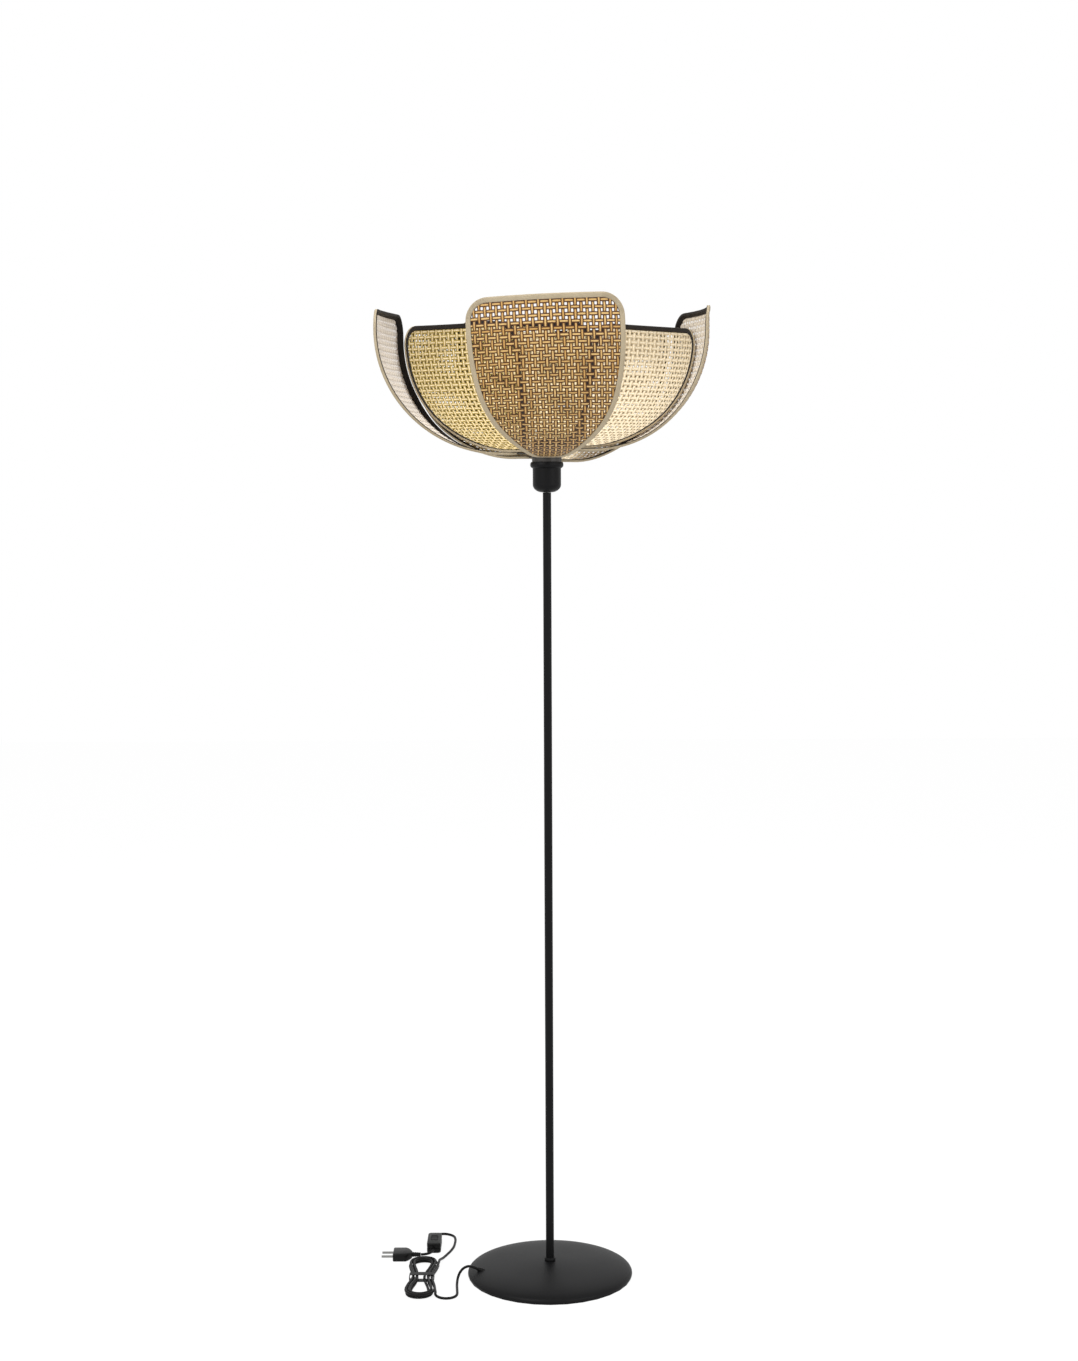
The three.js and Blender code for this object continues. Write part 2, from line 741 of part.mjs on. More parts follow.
// Free stretches of the cord: points chosen by hand, in millimetres
const glandAim = (distance) => [
  glandSeat[0] - distance * Math.cos(glandSlope * turn),
  glandSeat[1],
  glandSeat[2] + distance * Math.sin(glandSlope * turn),
];
const leadRoute = [
  glandAim(glandOut + gap), [-128, -21.9, 20.3], [-136, -21.6, 21.7], [-144, -23, 19], [-150, -28, 13.5],
  [-153.2, -37, 7.5], [-154, -50, 3.2], [-153.5, -65, cordFloor], [-152.6, -80, cordFloor],
  [-152.3, -95, cordFloor], [-154.7, -103.9, cordFloor], [-161.2, -110.3, cordFloor],
  [-170, -112.7, 2.5], [-178.9, -110.3, 2.8], [-185, -103.9, 3.1], [-187.6, -96, 3.3],
];
const tailRoute = [
  [-187.4, 42, 8.6], [-185.5, 54, 6], [-182, 68, 3.2], [-177, 84, cordFloor],
  [-171, 102, cordFloor], [-166.5, 122, cordFloor], [-165, 142, cordFloor], [-165, 158, cordFloor],
  [-167.4, 172, cordFloor], [-173.8, 181.2, cordFloor], [-182.6, 184.6, 3], [-191.4, 181.2, 4.2],
  [-198, 174, 6], [-200, 165, 7.8],
];
const plugRoute = [[-200.1, 92, 8.4], [-202.6, 83.2, 8], [-209, 76.5, 7.5], [-216.5, 74.1, 7.1]];

const hankStart = hank[0];
const hankEnd = hank[hank.length - 1];
const cordMid = switchHeight / 2;
const switchFar = switchCentre[1] + switchLength / 2 + gap;
const switchNear = switchCentre[1] - switchLength / 2 - gap;
const plugRear = plugFace[0] + plugLength + reliefLength + gap;
const plugLevel = plugHeight / 2;

// The free tube along a smooth line through the points, one step every few diameters
function freeCord(name, points, steps) {
  const curve = new THREE.CatmullRomCurve3(points.map((p) => new THREE.Vector3(...p)), false, 'centripetal');
  const line = curve.getSpacedPoints(steps).map((p) => p.toArray());
  console.log(name, 'length', curve.getLength().toFixed(0));
  place(name, tube(line, cordRadius, 8, 0.5), 'rubber');
}
const endGap = (point, dy) => [point[0], point[1] + dy, point[2]];
freeCord('cord_lead', [...leadRoute, endGap(hankStart, -gap)], 22);
freeCord('cord_tail', [
  endGap(hankEnd, gap), ...tailRoute, [switchCentre[0], switchFar, cordMid],
], 22);
freeCord('cord_plug_end', [
  [switchCentre[0], switchNear, cordMid], ...plugRoute, [plugRear, plugFace[1], plugLevel],
], 8);

// Inline switch: two half shells and a rocker that tips on its pin

const switchSplit = switchHeight / 2;
function pill(length, width, depth) {
  const shape = new THREE.Shape();
  const corner = width / 4;
  const x = width / 2;
  const y = length / 2;
  shape.moveTo(-x + corner, -y);
  shape.lineTo(x - corner, -y);
  shape.quadraticCurveTo(x, -y, x, -y + corner);
  shape.lineTo(x, y - corner);
  shape.quadraticCurveTo(x, y, x - corner, y);
  shape.lineTo(-x + corner, y);
  shape.quadraticCurveTo(-x, y, -x, y - corner);
  shape.lineTo(-x, -y + corner);
  shape.quadraticCurveTo(-x, -y, -x + corner, -y);
  return new THREE.ExtrudeGeometry(shape, { depth, bevelEnabled: false, curveSegments: 3 });
}
const lowerShell = pill(switchLength, switchWidth, switchSplit - gap / 2);
place('switch_lower', lowerShell, 'plastic').position.set(...switchCentre, 0);
const upperShell = pill(switchLength, switchWidth, switchHeight - switchSplit - gap / 2);
const wellWidth = rockerWidth + 2 * rockerClear;
const wellLength = rockerLength + 2 * rockerClear;
const rockerWell = new THREE.BoxGeometry(wellWidth, wellLength, switchHeight)
  .translate(0, 0, switchWall + switchHeight / 2);
place('switch_upper', cut(upperShell, rockerWell), 'plastic')
  .position.set(...switchCentre, switchSplit + gap / 2);

// The rocker is a flat arch; its pin line lies across it at the level of the shell's top
const rockerShape = new THREE.Shape();
const rockerHalf = rockerLength / 2;
const pinLevel = switchHeight - rockerSink / 2;
const rockerLow = -rockerSink / 2 - gap;
const rockerEnd = rockerTop + rockerSink / 2;
rockerShape.moveTo(-rockerHalf, rockerLow / 2);
rockerShape.lineTo(-rockerHalf, rockerEnd);
rockerShape.quadraticCurveTo(0, rockerEnd - rockerDip, rockerHalf, rockerEnd);
rockerShape.lineTo(rockerHalf, rockerLow / 2);
rockerShape.lineTo(0, rockerLow);
rockerShape.closePath();
const rockerForm = { depth: rockerWidth, bevelEnabled: false, curveSegments: 4 };
const rocker = new THREE.ExtrudeGeometry(rockerShape, rockerForm)
  .translate(0, 0, -rockerWidth / 2)
  .rotateX(Math.PI / 2)
  .rotateZ(Math.PI / 2)
  .rotateX(rockerTilt * turn);
place('switch_rocker', rocker, 'plastic').position.set(...switchCentre, pinLevel);

// Plug: flat two-pin body with a ribbed relief where the cord comes in

const plugOutline = new THREE.Shape([
  new THREE.Vector2(0, -plugWidth / 2 + plugHeight / 4),
  new THREE.Vector2(plugHeight / 4, -plugWidth / 2),
  new THREE.Vector2(plugLength - plugNose / 2, -plugWidth / 2),
  new THREE.Vector2(plugLength, -reliefRadius),
  new THREE.Vector2(plugLength + reliefLength, -reliefRadius),
  new THREE.Vector2(plugLength + reliefLength, reliefRadius),
  new THREE.Vector2(plugLength, reliefRadius),
  new THREE.Vector2(plugLength - plugNose / 2, plugWidth / 2),
  new THREE.Vector2(plugHeight / 4, plugWidth / 2),
  new THREE.Vector2(0, plugWidth / 2 - plugHeight / 4),
]);
const plugBlock = new THREE.ExtrudeGeometry(plugOutline, { depth: plugHeight, bevelEnabled: false });
const reliefTrim = (low, high) => new THREE.BoxGeometry(reliefLength + overrun, 4 * reliefRadius, high - low)
  .translate(plugLength + (reliefLength + overrun) / 2, 0, (low + high) / 2);
const plugSolid = cut(
  plugBlock,
  reliefTrim(-overrun, plugLevel - reliefRadius),
  reliefTrim(plugLevel + reliefRadius, plugHeight + overrun),
);
place('plug_body', plugSolid, 'plastic').position.set(plugFace[0], plugFace[1], 0);
for (const [name, side] of [['plug_pin_left', -1], ['plug_pin_right', 1]]) {
  const pin = new THREE.CylinderGeometry(pinRadius, pinRadius, pinLength, 12)
    .rotateZ(Math.PI / 2)
    .translate(plugFace[0] - gap - pinLength / 2, plugFace[1] + side * pinSpacing / 2, plugLevel);
  place(name, pin, 'steel');
}

export default lamp;
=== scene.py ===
# %% [markdown]
# # A floor lamp with a bowl of woven cane petals
#
# The lamp is a domed black base, one slim pole, a cup with a lampholder, and eight petals of open
# cane webbing. Each petal is a bent wire hoop that carries the webbing, with a beige tape outside
# and a black tape inside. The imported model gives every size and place, and this lesson adds the
# looks: real woven strands, rolled tape, textured powder coat and a soft black cord.

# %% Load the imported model
import math
import random

import bpy
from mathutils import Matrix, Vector


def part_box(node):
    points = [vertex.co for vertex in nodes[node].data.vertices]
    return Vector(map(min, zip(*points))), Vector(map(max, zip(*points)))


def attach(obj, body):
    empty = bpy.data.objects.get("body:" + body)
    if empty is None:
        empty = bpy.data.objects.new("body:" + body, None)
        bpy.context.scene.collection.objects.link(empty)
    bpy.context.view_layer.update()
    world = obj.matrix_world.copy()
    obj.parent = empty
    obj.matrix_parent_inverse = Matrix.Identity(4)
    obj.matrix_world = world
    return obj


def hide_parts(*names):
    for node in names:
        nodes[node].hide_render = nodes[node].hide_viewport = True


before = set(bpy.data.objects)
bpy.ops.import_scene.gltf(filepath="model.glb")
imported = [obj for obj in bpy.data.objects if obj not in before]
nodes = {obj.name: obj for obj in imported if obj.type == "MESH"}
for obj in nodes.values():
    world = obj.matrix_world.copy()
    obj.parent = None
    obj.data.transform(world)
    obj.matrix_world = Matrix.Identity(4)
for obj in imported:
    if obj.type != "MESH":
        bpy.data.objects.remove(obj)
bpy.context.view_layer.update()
MM = 0.001

# %% [markdown]
# ## Camera
#
# The picture was taken from chest height, about 3.4 m away, with a normal lens, looking slightly
# down. The camera is placed by its measured position, pitch, roll and lens. From so far off the pole
# hardly narrows, and the base, seen from only 21 degrees above, shows as a flat oval.

# %% Place the camera
PHOTO_HEIGHT = 1361
FOCAL_PIXELS = 2067
SENSOR = 36
CAMERA_PLACE = (-0.013, -3.371, 1.280)
CAMERA_PITCH, CAMERA_ROLL = 4.776, 0.25
camera_data = bpy.data.cameras.new("photo_camera")
camera_data.lens = SENSOR * FOCAL_PIXELS / PHOTO_HEIGHT
camera_data.sensor_width = SENSOR
camera_data.sensor_fit = "AUTO"
camera = bpy.data.objects.new("photo_camera", camera_data)
bpy.context.scene.collection.objects.link(camera)
camera.location = CAMERA_PLACE
camera.rotation_euler = (math.radians(90 - CAMERA_PITCH), math.radians(CAMERA_ROLL), 0)
bpy.context.scene.camera = camera
print("lens", round(camera_data.lens, 1), "mm")

# %% [markdown]
# ## Shader maths
#
# A finish is a small graph of nodes. Writing `height * 0.3 + grain` is easier to read than a list of
# node names and links, so one class wraps a socket and turns Python's operators into Math nodes. One
# method makes every other node, with its settings first and then its inputs.

# %% A small language for finishes
class Signal:
    """A socket that can be added and multiplied like a number."""

    def __init__(self, graph, socket):
        self.graph = graph
        self.socket = socket

    def maths(self, operation, first, second=None):
        values = [first] if second is None else [first, second]
        return self.graph.node("ShaderNodeMath", {"operation": operation}, dict(enumerate(values)))

    def __add__(self, other):
        return self.maths("ADD", self, other)

    def __radd__(self, other):
        return self.maths("ADD", other, self)

    def __sub__(self, other):
        return self.maths("SUBTRACT", self, other)

    def __rsub__(self, other):
        return self.maths("SUBTRACT", other, self)

    def __mul__(self, other):
        return self.maths("MULTIPLY", self, other)

    def __rmul__(self, other):
        return self.maths("MULTIPLY", other, self)

    def sine(self):
        return self.maths("SINE", self)

    def absolute(self):
        return self.maths("ABSOLUTE", self)

    def larger(self, other):
        return self.maths("MAXIMUM", self, other)


class Graph:
    """A tree of nodes, of a material or of the world."""

    def __init__(self, tree):
        self.tree = tree

    def node(self, kind, settings=None, inputs=None, output=0):
        made = self.tree.nodes.new(kind)
        for key, value in (settings or {}).items():
            setattr(made, key, value)
        for key, value in (inputs or {}).items():
            if isinstance(value, Signal):
                self.tree.links.new(value.socket, made.inputs[key])
            else:
                made.inputs[key].default_value = value
        return Signal(self, made.outputs[output])


class Finish(Graph):
    """One material: a Principled BSDF and the nodes that feed it."""

    def __init__(self, name, **constants):
        self.material = bpy.data.materials.new(name)
        self.material.use_nodes = True
        super().__init__(self.material.node_tree)
        self.shader = self.tree.nodes["Principled BSDF"]
        for key, value in constants.items():
            self.shader.inputs[key.replace("_", " ")].default_value = value

    def ramp(self, signal, low, high):
        """0 at low and below, 1 at high and above, smooth between."""
        settings = {"interpolation_type": "SMOOTHSTEP"}
        return self.node("ShaderNodeMapRange", settings, {"Value": signal, "From Min": low, "From Max": high})

    def blend(self, factor, first, second):
        """A colour between two others."""
        colours = {0: factor, 6: first, 7: second}
        return self.node("ShaderNodeMix", {"data_type": "RGBA"}, colours, output=2)

    def place(self):
        return self.node("ShaderNodeTexCoord", output="Object")

    def noise(self, scale, detail=2.0):
        inputs = {"Vector": self.place(), "Scale": scale, "Detail": detail}
        return self.node("ShaderNodeTexNoise", None, inputs)

    def attribute(self, name):
        return self.node("ShaderNodeAttribute", {"attribute_name": name}, output="Fac")

    def feed(self, socket, signal):
        self.tree.links.new(signal.socket, self.shader.inputs[socket])

    def bump(self, signal, depth):
        relief = {"Height": signal, "Distance": depth, "Strength": 1.0}
        self.feed("Normal", self.node("ShaderNodeBump", None, relief))


print("finish tools ready")

# %% [markdown]
# ## Black finishes
#
# Powder coat is a baked plastic skin with a fine orange-peel grain. Two noises do it: a fine one for
# the grain and a broad one that lets the grey drift a little. The cord and the mouldings are smooth
# soft plastic, and the floor pad is matt rubber, so they share one maker with other numbers.

# %% Black powder coat, plastic, cord sheath and rubber
def black_finish(name, dark, light, roughness, grain_scale, grain_depth):
    finish = Finish(name, Specular_IOR_Level=0.13)
    broad = finish.noise(9.0)
    grain = finish.noise(grain_scale, 3.0)
    finish.feed("Base Color", finish.blend(broad, (*dark, 1), (*light, 1)))
    finish.feed("Roughness", roughness - 0.06 + broad * 0.12)
    finish.bump(grain, grain_depth)
    return finish.material


powder = black_finish("powder_coat", (0.003, 0.003, 0.0033), (0.006, 0.006, 0.0065), 0.46, 900, 0.00012)
plastic = black_finish("satin_plastic", (0.004, 0.004, 0.004), (0.007, 0.007, 0.007), 0.36, 1600, 0.00003)
sheath = black_finish("cord_sheath", (0.003, 0.003, 0.003), (0.006, 0.0055, 0.0055), 0.42, 500, 0.00004)
rubber = black_finish("pad_rubber", (0.012, 0.012, 0.012), (0.022, 0.022, 0.022), 0.85, 700, 0.0002)
print("black finishes: powder, plastic, sheath, rubber")

# %% Metals and ceramic of the hidden fittings
def metal_finish(name, dark, light, roughness, scale, depth, metallic=1.0):
    finish = Finish(name, Metallic=metallic)
    marks = finish.noise(scale, 4.0)
    finish.feed("Base Color", finish.blend(marks, (*dark, 1), (*light, 1)))
    finish.feed("Roughness", roughness + marks * 0.15)
    finish.bump(marks, depth)
    return finish.material


zinc = metal_finish("zinc_plate", (0.42, 0.42, 0.41), (0.60, 0.60, 0.58), 0.28, 420, 0.00002)
iron = metal_finish("cast_iron", (0.05, 0.048, 0.046), (0.11, 0.105, 0.10), 0.65, 260, 0.0004, 0.6)
nickel = metal_finish("nickel_pins", (0.20, 0.20, 0.19), (0.32, 0.32, 0.31), 0.18, 600, 0.00001)
brass = metal_finish("brass_contact", (0.50, 0.36, 0.12), (0.66, 0.50, 0.20), 0.25, 500, 0.00001)
ceramic = metal_finish("ceramic_insert", (0.74, 0.71, 0.64), (0.82, 0.79, 0.73), 0.30, 120, 0.00005, 0.0)
hoop_paint = metal_finish("painted_hoop", (0.02, 0.018, 0.015), (0.035, 0.03, 0.026), 0.45, 300, 0.00003, 0.0)
print("metals and ceramic ready")

# %% [markdown]
# ## One way to sweep a shape
#
# Cords, tapes and cane strands are all the same idea: a small section carried along a line. A grid
# from the Add menu already has the right faces, so each row of its corners is moved to one ring of
# the piece. The seam is merged, open ends are filled, and the normals are turned outwards.

# %% Sweep a grid along rings of points
def deselect():
    bpy.ops.object.select_all(action="DESELECT")


def activate(piece):
    """Selects one piece alone, so that the next tool works on it."""
    deselect()
    piece.select_set(True)
    bpy.context.view_layer.objects.active = piece


def swept(name, rings, closed_path=False):
    """A tube from rings of points, with the last ring joined to the first if the path is closed."""
    deselect()
    rows = rings + [rings[0]] if closed_path else rings
    sides = len(rows[0])
    bpy.ops.mesh.primitive_grid_add(x_subdivisions=len(rows) - 1, y_subdivisions=sides, size=1)
    piece = bpy.context.object
    piece.name = name
    flat = []
    for j in range(sides + 1):
        for row in rows:
            flat.extend(row[j % sides])
    piece.data.vertices.foreach_set("co", flat)
    piece.location = (0, 0, 0)
    bpy.ops.object.mode_set(mode="EDIT")
    bpy.ops.mesh.select_mode(type="VERT")
    bpy.ops.mesh.select_all(action="SELECT")
    bpy.ops.mesh.remove_doubles(threshold=0.00002)
    if not closed_path:
        bpy.ops.mesh.select_all(action="DESELECT")
        bpy.ops.mesh.select_non_manifold()
        bpy.ops.mesh.fill_holes(sides=sides)
    bpy.ops.mesh.select_all(action="SELECT")
    bpy.ops.mesh.normals_make_consistent(inside=False)
    bpy.ops.object.mode_set(mode="OBJECT")
    return piece


def soften(piece, degrees=40):
    activate(piece)
    bpy.ops.object.shade_smooth_by_angle(angle=math.radians(degrees))
    return piece


def paint(piece, material):
    piece.data.materials.clear()
    piece.data.materials.append(material)


def finish_piece(piece, material, slot, body, *replaced):
    """Gives a piece its finish and body, and lets it stand for CAD nodes."""
    paint(piece, material)
    if replaced:
        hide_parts(*replaced)
    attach(piece, body)
    return piece


print("sweep ready")

# %% [markdown]
# ## Cord
#
# The cord leaves the dome through a soft gland, dips to the floor and runs back into a tied hank of
# four and a quarter loops. From the hank it goes to the switch, and a short end joins the plug. The
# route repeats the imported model's own points, in millimetres, so the cord lies exactly there.

# %% Round tube along a line
def smooth_line(points, per_span):
    """A centripetal curve through the points, as a dense list."""
    pts = [Vector(p) for p in points]
    padded = [2 * pts[0] - pts[1], *pts, 2 * pts[-1] - pts[-2]]
    line = []
    for p0, p1, p2, p3 in zip(padded, padded[1:], padded[2:], padded[3:]):
        d1 = max((p1 - p0).length, 1e-6) ** 0.5
        d2 = max((p2 - p1).length, 1e-6) ** 0.5
        d3 = max((p3 - p2).length, 1e-6) ** 0.5
        start = (p1 - p0) / d1 - (p2 - p0) / (d1 + d2) + (p2 - p1) / d2
        end = (p2 - p1) / d2 - (p3 - p1) / (d2 + d3) + (p3 - p2) / d3
        start, end = start * d2, end * d2
        for i in range(per_span):
            t = i / per_span
            a, b, c = 2 * (p1 - p2) + start + end, 3 * (p2 - p1) - 2 * start - end, start
            line.append(a * t ** 3 + b * t ** 2 + c * t + p1)
    line.append(pts[-1])
    return line


def round_tube(name, line, radius, sides=12):
    """A tube of even section; its side direction is carried along with the least twist."""
    side = Vector((0, 0, 1))
    rings = []
    for i, point in enumerate(line):
        along = (line[min(i + 1, len(line) - 1)] - line[max(i - 1, 0)]).normalized()
        side = (side - along * side.dot(along)).normalized()
        across = along.cross(side)
        width = radius(i / (len(line) - 1)) if callable(radius) else radius
        turns = [2 * math.pi * j / sides for j in range(sides)]
        rings.append([(point + (side * math.cos(a) + across * math.sin(a)) * width) * MM for a in turns])
    return swept(name, rings)


print("tube ready")

# %% Hank route
CORD_RADIUS, GAP, TIE_BAND = 2.2, 0.3, 0.8
HANK_LOOPS, HANK_STEPS = 4.25, 24
HANK_CENTRE = (-213.5, -28)
HANK_HALF_LENGTH, HANK_HALF_WIDTH, HANK_PITCH = 62, 13.5, 5.8
HANK_WAIST, HANK_WAIST_PITCH = 4.4, 6.2
HANK_FLOOR = CORD_RADIUS + TIE_BAND + GAP


def hank_loop(stage, width, waist):
    """One point of a loop: straight runs drawn in at the waist, and round ends."""
    def run(y):
        drawn = 0.5 + 0.5 * math.cos(math.pi * y / HANK_HALF_LENGTH)
        return width + (waist - width) * drawn
    if stage < 1 / 8:
        y = stage * 8 * HANK_HALF_LENGTH
        return run(y), y
    if stage < 3 / 8:
        angle = (stage - 1 / 8) * 4 * math.pi
        return width * math.cos(angle), HANK_HALF_LENGTH + width * math.sin(angle)
    if stage < 5 / 8:
        y = (1 / 2 - stage) * 8 * HANK_HALF_LENGTH
        return -run(y), y
    if stage < 7 / 8:
        angle = math.pi + (stage - 5 / 8) * 4 * math.pi
        return width * math.cos(angle), -HANK_HALF_LENGTH + width * math.sin(angle)
    y = (stage - 1) * 8 * HANK_HALF_LENGTH
    return run(y), y


def hank_points():
    middle = HANK_LOOPS / 2
    points = []
    for i in range(round(HANK_LOOPS * HANK_STEPS) + 1):
        along = i / HANK_STEPS
        rank = abs(along - middle)
        stage = ((along % 1) + 7 / 8) % 1
        x, y = hank_loop(stage, HANK_HALF_WIDTH + rank * HANK_PITCH, HANK_WAIST + rank * HANK_WAIST_PITCH)
        climb = min(max((along - middle) * 2 + 0.5, 0), 1)
        points.append((HANK_CENTRE[0] + x, HANK_CENTRE[1] + y, HANK_FLOOR + climb * HANK_PITCH))
    return points


hank = hank_points()
print("hank from", hank[0], "to", hank[-1])

# %% Whole cord from the gland to the switch, and the short end to the plug
GLAND_SEAT, GLAND_SLOPE = (-106, -22, 11.5), math.radians(22)
FLOOR_LEVEL = CORD_RADIUS + GAP / 2


def gland_at(distance):
    x, y, z = GLAND_SEAT
    return (x - distance * math.cos(GLAND_SLOPE), y, z + distance * math.sin(GLAND_SLOPE))


lead_route = [
    gland_at(16.3), (-128, -21.9, 20.3), (-136, -21.6, 21.7), (-144, -23, 19), (-150, -28, 13.5),
    (-153.2, -37, 7.5), (-154, -50, 3.2), (-153.5, -65, FLOOR_LEVEL), (-152.6, -80, FLOOR_LEVEL),
    (-152.3, -95, FLOOR_LEVEL), (-154.7, -103.9, FLOOR_LEVEL), (-161.2, -110.3, FLOOR_LEVEL),
    (-170, -112.7, 2.5), (-178.9, -110.3, 2.8), (-185, -103.9, 3.1), (-187.6, -96, 3.3),
]
tail_route = [
    (-187.4, 42, 8.6), (-185.5, 54, 6), (-182, 68, 3.2), (-177, 84, FLOOR_LEVEL),
    (-171, 102, FLOOR_LEVEL), (-166.5, 122, FLOOR_LEVEL), (-165, 142, FLOOR_LEVEL),
    (-165, 158, FLOOR_LEVEL), (-167.4, 172, FLOOR_LEVEL), (-173.8, 181.2, FLOOR_LEVEL),
    (-182.6, 184.6, 3), (-191.4, 181.2, 4.2), (-198, 174, 6), (-200, 165, 7.8), (-200, 154.3, 8.5),
]
plug_route = [
    (-200, 97.7, 8.5), (-200.1, 92, 8.4), (-202.6, 83.2, 8), (-209, 76.5, 7.5), (-216.5, 74.1, 7.1),
    (-220.7, 74, 7),
]


def line_length(line):
    return sum((b - a).length for a, b in zip(line, line[1:]))


main_line = smooth_line([*lead_route, *hank, *tail_route], 3)
plug_line = smooth_line(plug_route, 4)
main_cord = round_tube("cord_main", main_line, CORD_RADIUS)
plug_cord = round_tube("cord_plug_end_flex", plug_line, CORD_RADIUS)
for piece in (main_cord, plug_cord):
    soften(piece, 60)
finish_piece(main_cord, sheath, "cord_black", "stand", "cord_lead", "cord_hank", "cord_tail")
finish_piece(plug_cord, sheath, "cord_black", "stand", "cord_plug_end")
print("cord", round(line_length(main_line)), "mm, plug end", round(line_length(plug_line)), "mm")

# %% [markdown]
# ## What lies on the cord
#
# The hank is held by a soft tie, the switch is a flat two-part moulding, and the plug is a slim
# two-pin body. Both mouldings start as cubes. The switch gets round corners and a well that is cut
# for its rocker, and the plug's end is extruded and narrowed in three steps. Their edges are
# bevelled last, because every moulded edge is round. The plug's relief and the gland in the dome
# are short ribbed sleeves, swept like the cord but with a radius that changes on the way.

# %% Moulded boxes
def start_box(name, centre, size):
    deselect()
    bpy.ops.mesh.primitive_cube_add(size=1, location=centre)
    piece = bpy.context.object
    piece.name = name
    piece.scale = size
    bpy.ops.object.transform_apply(location=True, rotation=True, scale=True)
    return piece


def rounded(piece, width, degrees=30):
    activate(piece)
    bevel = piece.modifiers.new("round_edges", "BEVEL")
    bevel.width = width
    bevel.segments = 3
    bevel.limit_method = "ANGLE"
    bevel.angle_limit = math.radians(degrees)
    bpy.ops.object.modifier_apply(modifier=bevel.name)
    return soften(piece)


def pick_faces(piece, test):
    """Edit mode with only the faces that pass the test selected."""
    bpy.context.view_layer.objects.active = piece
    bpy.ops.object.mode_set(mode="EDIT")
    bpy.ops.mesh.select_mode(type="FACE")
    bpy.ops.mesh.select_all(action="DESELECT")
    bpy.ops.object.mode_set(mode="OBJECT")
    for face in piece.data.polygons:
        face.select = test(face)
    bpy.ops.object.mode_set(mode="EDIT")


def plan_corners(piece, width):
    """Rounds the upright corners of a box, as seen from above."""
    bpy.context.view_layer.objects.active = piece
    bpy.ops.object.mode_set(mode="EDIT")
    bpy.ops.mesh.select_mode(type="EDGE")
    bpy.ops.mesh.select_all(action="DESELECT")
    bpy.ops.object.mode_set(mode="OBJECT")
    points = piece.data.vertices
    for edge in piece.data.edges:
        a, b = (points[i].co for i in edge.vertices)
        edge.select = (a - b).xy.length < 1e-6
    bpy.ops.object.mode_set(mode="EDIT")
    bpy.ops.mesh.bevel(offset=width, segments=5)
    bpy.ops.object.mode_set(mode="OBJECT")
    return piece


print("box tools ready")

# %% Switch shells: two halves with a dark joint line and a well for the rocker
SWITCH_CORNER, LOWER_EDGE, UPPER_EDGE = 5.8, 1.6, 1.8
WELL_GAP, WELL_LIFT, WELL_DEPTH = 1.4, 1, 4
low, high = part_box("switch_lower")
lower = plan_corners(start_box("switch_lower_shell", (low + high) / 2, high - low), SWITCH_CORNER * MM)
rounded(lower, LOWER_EDGE * MM)
finish_piece(lower, plastic, "black_plastic", "stand", "switch_lower")

low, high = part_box("switch_upper")
upper = plan_corners(start_box("switch_upper_shell", (low + high) / 2, high - low), SWITCH_CORNER * MM)
rocker_low, rocker_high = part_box("switch_rocker")
well_centre = (rocker_low + rocker_high) / 2 + Vector((0, 0, WELL_LIFT)) * MM
well_size = rocker_high - rocker_low + Vector((WELL_GAP, WELL_GAP, WELL_DEPTH)) * MM
well = start_box("rocker_well", well_centre, well_size)
rounded(upper, UPPER_EDGE * MM)
activate(upper)
cutter = upper.modifiers.new("well", "BOOLEAN")
cutter.object = well
bpy.ops.object.modifier_apply(modifier=cutter.name)
bpy.data.objects.remove(well)
soften(upper)
finish_piece(upper, plastic, "black_plastic", "stand", "switch_upper")
print("switch shells", len(lower.data.polygons), len(upper.data.polygons))

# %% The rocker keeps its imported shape
paint(nodes["switch_rocker"], plastic)
print("rocker finished")

# %% Plug: a flat body that narrows to a ribbed sleeve
PLUG_FACE, PLUG_LENGTH, PLUG_WIDTH, PLUG_HEIGHT = (-268, 74), 33, 34, 14
PLUG_EDGE = 2.2
sleeve_steps = [(4, 0.80, 0.95), (4, 0.66, 0.86), (3, 0.52, 0.78)]
body_length = PLUG_LENGTH - sum(step for step, across, up in sleeve_steps)
plug = start_box(
    "plug_moulding",
    Vector((PLUG_FACE[0] + body_length / 2, PLUG_FACE[1], PLUG_HEIGHT / 2)) * MM,
    Vector((body_length, PLUG_WIDTH, PLUG_HEIGHT)) * MM,
)
middle = (0, PLUG_FACE[1] * MM, PLUG_HEIGHT / 2 * MM)
for step, across, up in sleeve_steps:
    reach = max(vertex.co.x for vertex in plug.data.vertices)
    pick_faces(plug, lambda face: face.center.x > reach - 1e-5)
    bpy.ops.mesh.extrude_region_move(TRANSFORM_OT_translate={"value": (step * MM, 0, 0)})
    bpy.ops.transform.resize(value=(1, across, up), center_override=middle)
    bpy.ops.object.mode_set(mode="OBJECT")
rounded(plug, PLUG_EDGE * MM, 15)


def ribbed(wide, taper, rib, count):
    """Radius along a sleeve that tapers, with rounded ribs, by the share of its length."""
    return lambda share: wide - taper * share + rib * math.cos(share * 2 * math.pi * count)


relief_line = smooth_line([(-243, 74, 7), (-236, 74, 7), (-228, 74, 7), (-221.2, 74, 7)], 18)
relief = soften(round_tube("plug_relief", relief_line, ribbed(4.5, 1.3, 0.3, 7), 20), 60)
finish_piece(relief, plastic, "black_plastic", "stand")
finish_piece(plug, plastic, "black_plastic", "stand", "plug_body")
for name in ("plug_pin_left", "plug_pin_right"):
    paint(nodes[name], nickel)
print("plug", len(plug.data.polygons), "relief", len(relief.data.polygons))

# %% Gland sleeve where the cord leaves the dome
gland_line = smooth_line([gland_at(-4), gland_at(2), gland_at(9), gland_at(16)], 12)
gland = soften(round_tube("gland_sleeve", gland_line, ribbed(5.0, 1.9, 0.25, 6), 24), 60)
finish_piece(gland, sheath, "cord_black", "stand", "cord_gland")
print("gland", len(gland.data.polygons), "faces")

